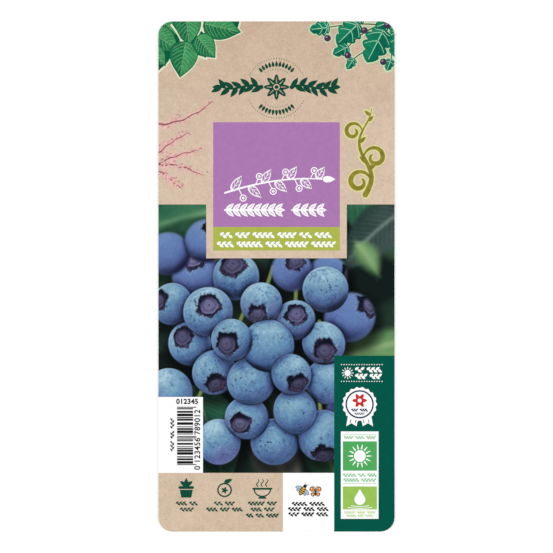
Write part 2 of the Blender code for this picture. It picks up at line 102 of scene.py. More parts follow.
lamp_reach = 1.7
lamp_height = 1.5
for side in (-1, 1):
    glow = bpy.data.lights.new("lamp", "AREA")
    glow.shape = "SQUARE"
    glow.size = 1.3
    glow.energy = 21.0
    lamp = stand("lamp", glow)
    lamp.location = (side * lamp_reach, 0.0, lamp_height)
    lamp.rotation_euler = (0.0, side * math.atan2(lamp_reach, lamp_height), 0.0)

room = bpy.data.worlds.new("room")
room.use_nodes = True
room.node_tree.nodes["Background"].inputs["Color"].default_value = (1.0, 1.0, 1.0, 1.0)
room.node_tree.nodes["Background"].inputs["Strength"].default_value = 0.53
bpy.context.scene.world = room
bpy.context.scene.view_settings.view_transform = "Standard"


# The white sheet.
# One die-cut sheet of polypropylene with rounded corners, satin all over and bare on its back.
# Every print finish starts from this one: a smooth plastic skin with a faint waviness.
full_white = (1.0, 1.0, 1.0, 1.0)


def screen(red, green, blue):
    """A colour as it looks on a screen, from 0 to 255, in linear light."""
    levels = []
    for level in (red, green, blue):
        share = level / 255
        levels.append(share / 12.92 if share <= 0.04045 else ((share + 0.055) / 1.055) ** 2.4)
    return (*levels, 1.0)


def start_finish(name, roughness, gloss):
    """A material with a shader, and a place on the object in metres to hang patterns on."""
    finish = bpy.data.materials.new(name)
    finish.use_nodes = True
    tree = finish.node_tree
    shader = tree.nodes["Principled BSDF"]
    shader.inputs["Roughness"].default_value = roughness
    shader.inputs["Specular IOR Level"].default_value = gloss
    return finish, tree, shader, tree.nodes.new("ShaderNodeTexCoord").outputs["Object"]


def add_noise(tree, place, size, detail=2.0, longer=1.0, turn=0.0):
    """A soft random pattern whose grains are about size metres wide and longer times as long."""
    seat = tree.nodes.new("ShaderNodeMapping")
    seat.vector_type = "TEXTURE"
    seat.inputs["Rotation"].default_value = (0.0, 0.0, turn)
    seat.inputs["Scale"].default_value = (longer, 1.0, 1.0)
    noise = tree.nodes.new("ShaderNodeTexNoise")
    noise.inputs["Scale"].default_value = 1.0 / size
    noise.inputs["Detail"].default_value = detail
    tree.links.new(place, seat.inputs["Vector"])
    tree.links.new(seat.outputs["Vector"], noise.inputs["Vector"])
    return noise.outputs["Fac"]


def add_ramp(tree, value, low, low_colour, high, high_colour):
    """Turn a value into colours that run from one to the other."""
    ramp = tree.nodes.new("ShaderNodeValToRGB")
    for stop, place, colour in zip(ramp.color_ramp.elements, (low, high), (low_colour, high_colour)):
        stop.position = place
        stop.color = colour
    tree.links.new(value, ramp.inputs["Fac"])
    return ramp.outputs["Color"]


def add_tint(tree, below, above, share, how="MIX"):
    """Lay one colour over another. The share is a number or a pattern."""
    mix = tree.nodes.new("ShaderNodeMix")
    mix.data_type = "RGBA"
    mix.blend_type = how
    for socket, value in (("A_Color", below), ("B_Color", above), ("Factor_Float", share)):
        target = next(entry for entry in mix.inputs if entry.identifier == socket)
        if isinstance(value, bpy.types.NodeSocket):
            tree.links.new(value, target)
        else:
            target.default_value = value
    return next(entry for entry in mix.outputs if entry.identifier == "Result_Color")


def varnish(tree, shader, place, tone, grain=1.0):
    """Close a finish: the tone with its fine print grain, under a varnish that is nearly smooth."""
    if grain < 1.0:
        dots = add_noise(tree, place, 0.16 * MM, 1.0)
        dark_grain = add_ramp(tree, dots, 0.30, (grain, grain, grain, 1.0), 0.62, full_white)
        tone = add_tint(tree, tone, dark_grain, 1.0, "MULTIPLY")
    tree.links.new(tone, shader.inputs["Base Color"])
    relief = tree.nodes.new("ShaderNodeBump")
    relief.inputs["Distance"].default_value = 0.004 * MM
    relief.inputs["Strength"].default_value = 1.0
    tree.links.new(add_noise(tree, place, 0.5 * MM), relief.inputs["Height"])
    tree.links.new(relief.outputs["Normal"], shader.inputs["Normal"])


def printed_ink(name, colour, spread=0.05, roughness=0.36, gloss=0.04):
    """A solid ink under satin varnish: faint print mottle, fine grain and a smooth skin."""
    finish, tree, shader, place = start_finish(name, roughness, gloss)
    darker, lighter = ((*(min(1.0, level * share) for level in screen(*colour)[:3]), 1.0)
                       for share in (1.0 - spread, 1.0 + spread))
    tone = add_ramp(tree, add_noise(tree, place, 2.2 * MM, 3.0), 0.3, darker, 0.7, lighter)
    varnish(tree, shader, place, tone, 0.95)
    return finish


def coat_node(name, finish):
    """Give a carried-over solid its finish."""
    nodes[name].data.materials.clear()
    nodes[name].data.materials.append(finish)


coat_node("card_core", printed_ink("sheet_white", (254, 254, 253), 0.012, 0.34, 0.35))


# The kraft print.
# A photograph of brown wrapping paper printed on the upper field and behind the care signs:
# clouded, crossed by fine fibres and flecked with dark and pale shives, and darker at the top.
kraft_top = screen(207, 181, 157)
kraft_dark = screen(190, 162, 138)
kraft_pale = screen(234, 217, 199)
kraft_speck = screen(150, 120, 98)
no_mark, faint_mark, strong_mark = [(level, level, level, 1.0) for level in (0.0, 0.35, 0.8)]
kraft_clouds = ((14 * MM, 0.93), (3.2 * MM, 0.945), (0.9 * MM, 0.95))
fibre_turns = (0.35, 1.25, 2.05, 2.85)
shives = ((0.9, 0.715, kraft_speck), (2.3, 0.735, kraft_dark), (1.6, 0.74, kraft_pale))


def kraft_paper(name, brown):
    finish, tree, shader, place = start_finish(name, 0.42, 0.08)
    parts = tree.nodes.new("ShaderNodeSeparateXYZ")
    tree.links.new(place, parts.inputs["Vector"])
    climb = tree.nodes.new("ShaderNodeMapRange")
    climb.inputs["From Min"].default_value = 52 * MM
    climb.inputs["From Max"].default_value = 106 * MM
    tree.links.new(parts.outputs["Y"], climb.inputs["Value"])
    tone = add_tint(tree, brown, kraft_top, climb.outputs["Result"])
    for size, dark in kraft_clouds:
        dusk = (dark, dark * 0.992, dark * 0.985, 1.0)
        shadow = add_ramp(tree, add_noise(tree, place, size, 3.0), 0.34, dusk, 0.62, full_white)
        tone = add_tint(tree, tone, shadow, 1.0, "MULTIPLY")
    for turn in fibre_turns:
        fibre = add_noise(tree, place, 0.20 * MM, 2.0, 9.0, turn)
        tone = add_tint(tree, tone, kraft_pale, add_ramp(tree, fibre, 0.60, no_mark, 0.72, faint_mark))
        tone = add_tint(tree, tone, kraft_dark, add_ramp(tree, fibre, 0.28, faint_mark, 0.39, no_mark))
    for turn, seat, colour in shives:
        specks = add_noise(tree, place, 0.60 * MM, 1.0, 2.4, turn)
        dots = add_ramp(tree, specks, seat, no_mark, seat + 0.06, strong_mark)
        tone = add_tint(tree, tone, colour, dots)
    varnish(tree, shader, place, tone)
    return finish


kraft_foot = kraft_paper("kraft_foot", screen(217, 194, 170))
coat_node("kraft_face", kraft_paper("kraft_print", screen(220, 198, 176)))
coat_node("care_strip", kraft_foot)


# The plain fields.
# White for the bar code and the visitors, dark green at the side, purple for the title and lime
# for the claim: solid inks printed edge to edge.
white_ink = printed_ink("white_ink", (255, 255, 255), 0.010)
white_print = (white_ink, "white_ink")
title_purple = printed_ink("title_purple", (172, 121, 178), 0.03)
for name in ("barcode_field", "pollinator_field", "title_bar_1", "title_bar_2"):
    coat_node(name, white_ink)
coat_node("side_panel", printed_ink("side_green", (0, 86, 71)))
coat_node("title_panel", title_purple)
coat_node("claim_band", printed_ink("claim_lime", (174, 184, 78), 0.03))


# The printed picture.
# A close view of ripe blueberries in front of leaves that are out of focus, printed edge to edge.
# The picture is worked out point by point on a fine net of corners: leaves first, then berries.
field_low, field_high = (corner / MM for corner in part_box("picture_panel"))
title_frame_half_width = 29.75
title_frame_bottom = 7.7
code_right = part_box("barcode_field")[1].x / MM
code_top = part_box("barcode_field")[1].y / MM
side_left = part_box("side_panel")[0].x / MM
side_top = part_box("side_panel")[1].y / MM


def tint(*levels):
    return np.array(levels, dtype=float) / 255.0


def ease(low, high, value):
    share = np.clip((value - low) / (high - low), 0.0, 1.0)
    return share * share * (3.0 - 2.0 * share)


def mix_tones(first, second, share):
    share = np.asarray(share)[..., None]
    return first * (1.0 - share) + second * share


def washed(tone, *washes):
    """Lay washes of colour over a tone, each with the share that it covers."""
    for colour, share in washes:
        tone = mix_tones(tone, colour, share)
    return tone


def grit(points, seed):
    """Smooth random heights between 0 and 1, for points of two or three coordinates."""
    cell = np.floor(points)
    share = points - cell
    share = share * share * (3.0 - 2.0 * share)
    axes = points.shape[-1]
    hash_weights = np.array([127.1, 311.7, 74.7])[:axes]
    total = 0.0
    for corner in range(2 ** axes):
        step = np.array([(corner >> axis) & 1 for axis in range(axes)])
        height = np.sin((cell + step) @ hash_weights + seed * 19.19) * 43758.5453
        height = height - np.floor(height)
        total = total + height * np.prod(np.where(step, share, 1.0 - share), axis=-1)
    return total


def cloud(points, seed, layers=3):
    """The same random heights at several sizes, laid over each other."""
    total = 0.0
    for layer in range(layers):
        total = total + grit(points * 2.0 ** layer, seed + 7 * layer) * 0.5 ** (layer + 1)
    return total / (1.0 - 0.5 ** layers)


def spin(turn):
    return np.array([[math.cos(turn), -math.sin(turn)], [math.sin(turn), math.cos(turn)]])


def paint_leaf(picture, spots, base, heading, length, width, bow, blur, vein_gap, tones):
    """Paint one leaf blade, in or out of focus, over what is there."""
    pale, dark, rib = tones
    local = (spots - np.array(base)) @ spin(math.radians(heading)) / length
    along = local[:, 0]
    across = local[:, 1] - bow * (0.25 - (along - 0.5) ** 2)
    half = width / length / 2 * np.sin(math.pi * np.clip(along, 0.0, 1.0) ** 0.8) ** 0.8 + 1e-4
    beyond = np.maximum(np.abs(across) - half, np.maximum(-along, along - 1.0)) * length
    near = beyond < blur
    if not near.any():
        return
    along, across, half, beyond = along[near], across[near], half[near], beyond[near]
    here = spots[near]
    side = across / half
    wave = cloud(here * 0.11, length) - 0.5
    fine = cloud(here * 0.9, length + 3) - 0.5
    light = 0.50 + 0.30 * side + 0.55 * wave + 0.10 * np.cos(along * 4.0) + 0.16 * fine
    if vein_gap:
        rows = (along * length - np.abs(across) * length * 0.9) / vein_gap + 0.35 * wave
        line = np.exp(-((rows - np.round(rows)) / 0.11) ** 2)
        light = light + 0.26 * line * ease(1.0, 0.4, np.abs(side)) - 0.05
    tone = mix_tones(dark, pale, np.clip(light, 0.0, 1.0))
    rib_width = (0.35 + blur * 0.5) / length
    tone = mix_tones(tone, rib, 0.6 * np.exp(-(across / rib_width) ** 2) * ease(1.05, 0.6, along))
    picture[near] = mix_tones(picture[near], tone, 1.0 - ease(-blur, blur, beyond))


def paint_stalk(picture, spots, start, end, width, tone, blur=0.4):
    start = np.array(start)
    run = np.array(end) - start
    share = np.clip((spots - start) @ run / (run @ run), 0.0, 1.0)
    miss = np.linalg.norm(spots - start - share[:, None] * run, axis=1)
    near = miss < width + blur
    shaded = tone * (1.0 - 0.45 * miss[near] / width)[:, None]
    outside = ease(width / 2 - blur / 2, width / 2 + blur, miss[near])
    picture[near] = mix_tones(picture[near], shaded, 1.0 - outside)


def paint_crown(tone, body, berry, lamp_here, energy):
    """The crown at the blossom end: a sunk disc inside a torn five-pointed collar."""
    around = np.arctan2(body[:, 1], body[:, 0])
    reach = np.arccos(np.clip(body[:, 2], -1.0, 1.0))
    ring = np.stack([np.cos(around), np.sin(around)], -1)
    seed = berry["seed"]
    torn = cloud(ring * 2.6 + seed, seed + 31) - 0.5
    toward_lamp = ring @ lamp_here[:2]
    saw = np.abs(((around / (2 * math.pi) * 5 + seed) % 1.0) * 2.0 - 1.0)
    ragged = cloud(ring * 6.0 + seed, seed + 37, 2) - 0.5
    collar = berry["crown"] * (0.99 + 0.20 * (1.0 - saw) ** 2 + 0.40 * torn + 0.20 * ragged)
    hollow = berry["crown"] * (0.75 + 0.18 * torn)
    night = tint(16, 17, 32)
    plum = tint(62, 54, 80)
    mauve = tint(102, 98, 144)
    frost = tint(156, 168, 198)
    sheltered = ease(-0.5, 0.9, toward_lamp)
    sunk = 1.0 - ease(collar, collar + 0.10, reach)
    speckle = ease(0.55, 0.80, grit(body * 22.0 + seed, seed + 91))
    speckle *= 1.0 - ease(collar, collar + 0.26, reach)
    fibres = cloud(np.stack([around * 3.5, reach * 9.0], -1) + seed, 3.0, 2)
    lip = washed(
        night,
        (plum, np.clip(0.60 - 0.8 * sheltered + 1.6 * torn, 0.0, 1.0)),
        (mauve, 0.6 * ease(0.55, 0.85, fibres) * (1.0 - 0.6 * sheltered)),
    )
    tone = washed(
        tone,
        (tone * 0.55, 0.55 * sunk * (0.4 + 0.6 * sheltered)),
        (tint(190, 204, 226), 0.40 * speckle),
        (lip, 1.0 - ease(collar - 0.035, collar + 0.02, reach)),
    )
    disc = reach / hollow
    marks = cloud(np.stack([disc * 6.0, around * 1.6], -1), seed)
    streaks = cloud(np.stack([disc * 1.5, around * 5.0], -1), seed + 3.0, 2)
    wall = ease(0.66, 0.98, disc + 0.16 * (toward_lamp - 0.4))
    floor = washed(
        mauve,
        (plum, 0.40 * marks + 0.30 * streaks),
        (tint(120, 130, 160), 0.55 * (1.0 - ease(0.10, 0.50, disc))),
        (plum, 0.40 * np.exp(-((disc - 0.62 - 0.14 * torn) / 0.07) ** 2)),
        (frost, 0.22 * np.exp(-((disc - 0.48 - 0.10 * torn) / 0.10) ** 2)),
        (tint(36, 48, 86), 0.80 * (1.0 - ease(0.04, 0.18, disc))),
        (night, wall * (0.12 + 0.80 * sheltered)),
        (frost, 0.40 * ease(0.78, 0.95, disc) * (1.0 - sheltered)),
    )
    level = np.clip(0.45 + 0.75 * energy, 0.25, 1.1) * (0.74 + 0.34 * berry["violet"])
    return mix_tones(tone, floor * level[..., None], 1.0 - ease(hollow - 0.03, hollow + 0.02, reach))


neighbour_shade = 0.92
neighbour_falloff = 4.4
cast_shadow = 0.55
# The light from which a tone starts, the light that gives it in full, and the tone.
berry_tones = (
    (0.06, 0.24, 40, 54, 86), (0.18, 0.44, 74, 102, 148),
    (0.42, 0.76, 100, 142, 178), (0.72, 1.02, 130, 170, 194),
)


def paint_berry(picture, spots, berry, berries, lamp):
    """One round berry with its waxy bloom, shaded by the light and by its neighbours."""
    radius = berry["radius"]
    offset = (spots - berry["spot"][:2]) / radius
    near = (offset ** 2).sum(-1) < 1.35
    if not near.any():
        return
    here = spots[near]
    lie = spin(berry["turn"])
    offset = (offset[near] @ lie) * np.array([1.0 / berry["squash"], berry["squash"]]) @ lie.T
    reach = np.sqrt((offset ** 2).sum(-1))
    height = np.sqrt(np.clip(1.0 - reach ** 2, 0.0, 1.0))
    normal = np.concatenate([offset, height[:, None]], -1)
    normal = normal / np.linalg.norm(normal, axis=-1, keepdims=True)
    direct = np.clip((normal @ lamp + 0.18) / 1.18, 0.0, 1.0)
    open_sky = np.ones(len(here))
    lit = np.ones(len(here))
    point = np.concatenate([here, (berry["spot"][2] + radius * height)[:, None]], -1)
    for other in berries:
        if other is berry:
            continue
        way = other["spot"] - point
        far = np.linalg.norm(way, axis=-1)
        if far.min() > 4.0 * other["radius"]:
            continue
        facing = np.clip((normal * way).sum(-1) / far * 0.7 + 0.3, 0.0, 1.0)
        nearness = np.clip(other["radius"] / far, 0.0, 1.0) ** neighbour_falloff
        open_sky *= 1.0 - neighbour_shade * facing * nearness
        along = way @ lamp
        miss = np.sqrt(np.clip(far ** 2 - along ** 2, 0.0, None)) / other["radius"]
        lit *= 1.0 - cast_shadow * (1.0 - ease(0.70, 1.25, miss)) * ease(0.0, 3.0, along)
    crown_way = berry["crown_way"]
    side_a = np.cross([0.3, 0.9, 0.2], crown_way)
    side_a = side_a / np.linalg.norm(side_a)
    turned = np.stack([side_a, np.cross(crown_way, side_a), crown_way], -1)
    body = normal @ turned
    seed = berry["seed"]
    patch = cloud(body * 1.7 + seed, seed, 4)
    fine = cloud(body * 9.0 + seed, seed + 5)
    bloom = np.clip(0.60 + 1.5 * (patch - 0.5) + 0.75 * (fine - 0.5), 0.0, 1.0)
    sky = 0.5 + 0.5 * normal[:, 1]
    energy = 0.46 * direct * lit + 0.40 * sky * open_sky + 0.30 * open_sky
    energy = energy * (0.24 + 0.73 * open_sky) * (0.90 + 0.34 * bloom) * berry["level"]
    wax_white = tint(178, 212, 226)
    tone = night = tint(8, 11, 20)
    for low, high, *colour in berry_tones:
        tone = mix_tones(tone, tint(*colour), ease(low, high, energy))
    tone = mix_tones(tone, wax_white, 0.70 * ease(0.98, 1.22, energy))
    blush = ease(0.35, 0.75, cloud(body * 1.2 + 9.0 + seed, seed + 9, 2))
    tone = mix_tones(tone, tint(116, 108, 160), 0.60 * berry["violet"] * blush * ease(1.1, 0.4, energy))
    sharp = 1.0 if berry["blur"] < 1.0 else 0.2
    if sharp < 1.0:
        dusky = mix_tones(tint(34, 36, 74), tint(98, 118, 180), ease(0.05, 0.62, energy))
        tone = mix_tones(tone, dusky, 0.61)
    worn = cloud(body * 8.0 + seed, seed + 21, 4)
    rubbed = ease(0.50, 0.72, worn) * ease(0.46, 0.66, cloud(body * 2.0 + seed, seed + 23, 2))
    sown = ease(0.48, 0.68, cloud(body * 2.2 + seed, seed + 57, 2))
    pits = ease(0.72, 0.88, grit(body * 15.0 + seed, seed + 51)) * sown
    grains = ease(0.58, 0.80, cloud(body * 22.0 + seed, seed + 41, 2))
    tone = washed(
        tone,
        (tone * tint(146, 164, 204), 0.60 * sharp * rubbed),
        (tint(36, 44, 84), 0.72 * sharp * pits),
        (wax_white, 0.26 * sharp * grains * ease(0.3, 0.8, energy)),
    )
    mottle = cloud(body * 13.0 + seed, seed + 61, 2) - 0.5
    rim = ease(0.82, 0.94, reach) * open_sky
    tone = washed(
        tone * (1.0 + 0.20 * sharp * mottle)[:, None],
        (tint(132, 160, 200), 0.40 * rim * (0.4 + 0.6 * direct)),
        (wax_white, 0.62 * sharp * ease(0.90, 0.96, reach) * open_sky * direct * lit),
        (night, 0.60 * sharp * ease(0.965, 1.0, reach)),
        (tint(26, 30, 56), 0.75 * ease(0.955, 1.0, reach) * (1.0 - 0.75 * direct)),
    )
    if crown_way[2] > -0.3:
        tone = paint_crown(tone, body, berry, lamp @ turned, energy)
    edge = berry["blur"] / radius
    picture[near] = mix_tones(picture[near], tone, 1.0 - ease(1.0 - edge, 1.0 + 0.3 * edge, reach))


def grow_berries():
    """A cluster of berries, pushed apart inside a box until none crowds its neighbour."""
    draw = np.random.default_rng(berry_seed)
    low = np.array(cluster_low)
    high = np.array(cluster_high)
    spots = low + (high - low) * draw.random((berry_count, 2))
    for _ in range(220):
        offset = spots[:, None] - spots[None, :]
        gap = np.sqrt((offset ** 2).sum(-1)) + np.eye(berry_count) * 1e6
        push = np.clip(berry_spacing - gap, 0.0, None) / gap
        spots = np.clip(spots + 0.25 * (offset * push[..., None]).sum(1), low, high)
    middle = spots.mean(0)
    berries = []
    for count, spot in enumerate((*spots, *far_spots)):
        out = spot - middle
        depth = -0.007 * (out @ out) + draw.uniform(-6.0, 6.0) - (16.0 if count >= berry_count else 0.0)
        crown_x = 0.016 * out[0] + draw.normal(0, 0.40)
        crown_y = 0.012 * out[1] + draw.normal(-0.12, 0.34)
        faces_away = draw.random() < 0.30
        crown_way = np.array([crown_x, crown_y, -0.6 if faces_away else 0.7])
        berries.append({
            "spot": np.array([*spot, depth]),
            "radius": draw.uniform(*berry_radii),
            "crown_way": crown_way / np.linalg.norm(crown_way),
            "crown": draw.uniform(0.46, 0.58),
            "turn": draw.uniform(0.0, math.pi),
            "squash": draw.uniform(0.965, 1.03),
            "violet": draw.uniform(0.0, 1.0),
            "level": draw.uniform(0.94, 1.10) * (1.0 if depth > -12 else 0.80),
            "blur": 0.45 if depth > -12.0 else 1.6,
            "seed": 3.7 * count + 1.0,
        })
    return sorted(berries, key=lambda berry: berry["spot"][2])


berry_seed = 11
berry_count = 26
berry_spacing = 15.6
berry_radii = (8.6, 11.4)
cluster_low = (-46.0, -70.0)
cluster_high = (31.0, 15.0)
far_spots = ((6.5, 2.5), (22.0, 1.0))
picture_lamp = np.array([-0.30, 0.74, 0.60]) / np.linalg.norm([-0.30, 0.74, 0.60])


# Each tone of leaf is its lit side, its shaded side and its rib.
teal = (tint(84, 142, 104), tint(36, 86, 62), tint(128, 170, 128))
moss = (tint(66, 124, 80), tint(24, 56, 44), tint(134, 160, 110))
gloom = (tint(54, 84, 64), tint(18, 32, 30), tint(84, 114, 90))
slate = (tint(80, 100, 96), tint(32, 52, 48), tint(132, 150, 142))
lime = (tint(124, 166, 108), tint(76, 116, 76), tint(156, 186, 132))
deep = (tint(52, 112, 82), tint(18, 52, 42), tint(124, 168, 140))
straw = (tint(128, 122, 112), tint(62, 70, 64), tint(140, 136, 120))
# Each leaf is its base, heading, length, width, bow, blur, spacing of veins and tones.
pictured_leaves = (
    ((-14, 34), 196, 48, 27, 0.20, 2.4, 0.0, teal), ((-26, 24), 226, 56, 22, -0.22, 2.2, 0.0, moss),
    ((-56, -4), 306, 44, 24, 0.20, 2.2, 0.0, gloom), ((28, 40), 318, 46, 27, 0.18, 1.1, 3.4, teal),
    ((60, 32), 222, 44, 20, -0.22, 1.3, 2.6, slate), ((33.5, 14.5), 304, 17, 9, 0.20, 2.4, 0.0, lime),
    ((58, -8), 238, 50, 27, 0.16, 2.4, 0.0, gloom), ((62, -26), 197, 50, 14, -0.16, 2.4, 0.0, lime),
    ((-36, -46), 288, 46, 26, 0.14, 0.6, 2.2, deep), ((-6, -62), 296, 34, 20, -0.16, 2.2, 0.0, straw),
    ((14, -66), 300, 30, 18, 0.18, 2.0, 0.0, moss),
)


def paint_picture(spots):
    murk = ease(0.38, 0.72, cloud(spots * 0.05, 3))
    picture = mix_tones(tint(16, 28, 26), tint(56, 84, 62), murk)
    for leaf in pictured_leaves:
        paint_leaf(picture, spots, *leaf)
    berries = grow_berries()
    open_air = np.ones(len(spots))
    for berry in berries:
        miss = np.linalg.norm(spots - berry["spot"][:2] - (1.0, -3.0), axis=1) / berry["radius"]
        open_air *= 1.0 - 0.66 * (1.0 - ease(0.8, 1.5, miss))
    picture *= (0.06 + 0.94 * open_air)[:, None]
    for berry in berries[::3]:
        x, y = berry["spot"][:2]
        paint_stalk(picture, spots, (x, y), (0.7 * x + 3.0, 0.7 * y + 12.0), 1.5, tint(122, 140, 84))
    for berry in berries:
        paint_berry(picture, spots, berry, berries, picture_lamp)
    return np.clip(picture, 0.0, 1.0)


# The picture's own colours, with the grain of the print and its satin varnish.
picture_ink, picture_tree, picture_shader, picture_place = start_finish("picture_print", 0.34, 0.04)
painted = picture_tree.nodes.new("ShaderNodeAttribute")
painted.attribute_name = "print"
varnish(picture_tree, picture_shader, picture_place, painted.outputs["Color"], 0.88)


def seat_piece(name, form, finish, slot):
    """Make a form into a piece of the label with its finish."""
    mesh = bpy.data.meshes.new(name)
    form.to_mesh(mesh)
    form.free()
    mesh.materials.append(finish)
    piece = stand(name, mesh)
    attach(piece, "root")
    return piece


def snap_to(values, lines, reach):
    """Move each value that lies within reach of a line onto that line."""
    for line in lines:
        values = np.where(np.abs(values - line) < reach, line, values)
    return values


picture_dot = 0.25


def lay_picture(name, bottom, top):
    """One closed plate of the picture between two heights, with the other fields cut out of it."""
    width = field_high.x - field_low.x
    columns = round(width / picture_dot)
    rows = round((top - bottom) / picture_dot)
    form = bmesh.new()
    bmesh.ops.create_grid(form, x_segments=columns, y_segments=rows, size=0.5)
    corners = np.array([corner.co for corner in form.verts])
    frame_edges = (-title_frame_half_width, title_frame_half_width, code_right, side_left)
    across = snap_to(corners[:, 0] * width, frame_edges, picture_dot / 2)
    up = corners[:, 1] * (top - bottom) + (top + bottom) / 2
    up = snap_to(up, (title_frame_bottom, code_top, side_top), picture_dot / 2)
    for corner, x, y in zip(form.verts, across, up):
        corner.co = (x * MM, y * MM, field_high.z * MM)
    cut_away = []
    for face in form.faces:
        middle = face.calc_center_median() / MM
        behind_title = abs(middle.x) < title_frame_half_width and middle.y > title_frame_bottom
        behind_code = middle.x < code_right and middle.y < code_top
        behind_side = middle.x > side_left and middle.y < side_top
        if behind_title or behind_code or behind_side:
            cut_away.append(face)
    bmesh.ops.delete(form, geom=cut_away, context="FACES")
    rim = [edge for edge in form.edges if edge.is_boundary]
    grown = bmesh.ops.extrude_edge_only(form, edges=rim)["geom"]
    for item in grown:
        if isinstance(item, bmesh.types.BMVert):
            item.co.z = field_low.z * MM
    foot = [item for item in grown if isinstance(item, bmesh.types.BMEdge)]
    bmesh.ops.edgeloop_fill(form, edges=foot)
    bmesh.ops.recalc_face_normals(form, faces=form.faces)
    piece = seat_piece(name, form, picture_ink, "picture_print")
    mesh = piece.data
    places = np.zeros(len(mesh.vertices) * 3)
    mesh.vertices.foreach_get("co", places)
    painted = paint_picture(places.reshape(-1, 3)[:, :2] / MM)
    light = np.where(painted <= 0.04045, painted / 12.92, ((painted + 0.055) / 1.055) ** 2.4)
    colours = mesh.color_attributes.new("print", "FLOAT_COLOR", "POINT")
    colours.data.foreach_set("color", np.column_stack([light, np.ones(len(light))]).ravel())
    return piece


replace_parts(lay_picture("picture_upper", side_top, field_high.y), "picture_panel")
lay_picture("picture_lower", field_low.y, side_top)


# The leaves in the top left corner.
# Flat printed leaves that hang in from the corner and are cut off with the sheet: dark leaves
# behind, veined ones with a shaded half in front, and a cream line round them all.
ink_floor = field_high.z * MM
print_height = 0.016
leaf_step = 0.008
hair = 0.0004
lobe_lead = 0.85
lobe_depth = 0.42
corner_radius = 6.0


def away(middle, reach, heading):
    """The point that lies in a direction from a middle."""
    return (middle[0] + reach * math.cos(heading), middle[1] + reach * math.sin(heading))


def bend(start, control, end, steps=14):
    """Points along a curve that leaves start towards control and arrives at end."""
    points = []
    for step in range(steps + 1):
        t = step / steps
        shares = ((1 - t) ** 2, 2 * t * (1 - t), t ** 2)
        x, y = (sum(share * point[axis] for share, point in zip(shares, (start, control, end)))
                for axis in (0, 1))
        points.append((x, y))
    return points


def heading_at(path, index):
    """The way a path runs at one of its points."""
    before = path[max(index - 1, 0)]
    after = path[min(index + 1, len(path) - 1)]
    return math.atan2(after[1] - before[1], after[0] - before[0])


def round_end(middle, heading, radius):
    """Points round the end of a stroke, between its two sides."""
    return [away(middle, radius, heading + step * math.pi / 6) for step in (-2, -1, 0, 1, 2)]


def stroke(path, first_width, last_width, swell=0.0, grow=0.0):
    """The outline of a pen stroke along a path, with round ends. It may be grown all round."""
    right_side = []
    left_side = []
    ends = []
    for index, (x, y) in enumerate(path):
        heading = heading_at(path, index)
        share = index / (len(path) - 1)
        width = first_width + (last_width - first_width) * share + swell * math.sin(math.pi * share)
        half = width / 2 + grow
        right_side.append((x + half * math.sin(heading), y - half * math.cos(heading)))
        left_side.append((x - half * math.sin(heading), y + half * math.cos(heading)))
        ends.append(((x, y), heading, half))
    root, heading, half = ends[0]
    return right_side + round_end(*ends[-1]) + left_side[::-1] + round_end(root, heading + math.pi, half)


def place_points(points, base, heading):
    """Turn points from a leaf's own frame, where it grows along +X, and put them at its base."""
    cosine, sine = math.cos(heading), math.sin(heading)
    return [(base[0] + x * cosine - y * sine, base[1] + x * sine + y * cosine) for x, y in points]


def leaf_half_width(share, width, lobes):
    """Half the width of a blade at a share of its length: pointed at the tip, or cut into lobes."""
    if lobes:
        cut = 1.0 - abs(math.sin(math.pi * lobes * share ** lobe_lead)) ** 0.6
        return width / 2 * math.sin(math.pi * share ** 0.68) ** 0.60 * (1.0 - lobe_depth * cut)
    return width / 2 * math.sin(math.pi * share ** 0.68) ** (0.68 + 0.45 * share ** 3)


def blade_outline(base, heading, length, width, grow=0.0, sides=22, side=0, lobes=0):
    """A blade, or with side +1 or -1 only the half on that side of its midrib."""
    edge = []
    for step in range(1, sides):
        share = step / sides
        edge.append((share * (length + 2 * grow) - grow, leaf_half_width(share, width, lobes) + grow))
    tip = (length + 1.6 * grow, 0.0)
    root = (-grow, 0.0)
    if side:
        points = [root] + [(x, side * y) for x, y in edge] + [tip]
        if side > 0:
            points.reverse()
    else:
        points = [root] + [(x, -y) for x, y in edge] + [tip] + edge[::-1]
    return place_points(points, base, heading)


def vein_outlines(base, heading, length, width, pairs, rib_width, vein_width, lobes=0):
    """The midrib and the pairs of veins that curve from it. In a lobed leaf each pair has its lobe."""
    rib = [(share * length, 0.0) for share in (0.02, 0.25, 0.5, 0.75, 0.92)]
    veins = [stroke(place_points(rib, base, heading), rib_width, rib_width * 0.5)]
    for pair in range(pairs - 1 if lobes else pairs):
        end = 0.18 + 0.74 * (pair + 0.5) / pairs
        if lobes:
            end = ((pair + 0.5) / pairs) ** (1 / lobe_lead)
        root = max(end - 0.22, 0.02)
        reach = 0.84 * leaf_half_width(end, width, lobes)
        for side in (-1, 1):
            elbow = ((root + 0.08) * length, side * reach * 0.62)
            path = bend((root * length, 0.0), elbow, (end * length, side * reach), 5)
            veins.append(stroke(place_points(path, base, heading), vein_width, vein_width * 0.6))
    return veins


def sheet_edges():
    """Straight cuts that together follow the sheet's edge, each a point and an outward direction."""
    half_width = solid_high.x / MM
    half_length = solid_high.y / MM
    cuts = [((half_width, 0.0), 0.0), ((-half_width, 0.0), math.pi), ((0.0, half_length), math.pi / 2)]
    for side in (-1, 1):
        middle = (side * (half_width - corner_radius), half_length - corner_radius)
        for step in range(1, 9):
            angle = math.pi / 2 - side * step * math.pi / 18
            cuts.append((away(middle, corner_radius, angle), angle))
    return cuts


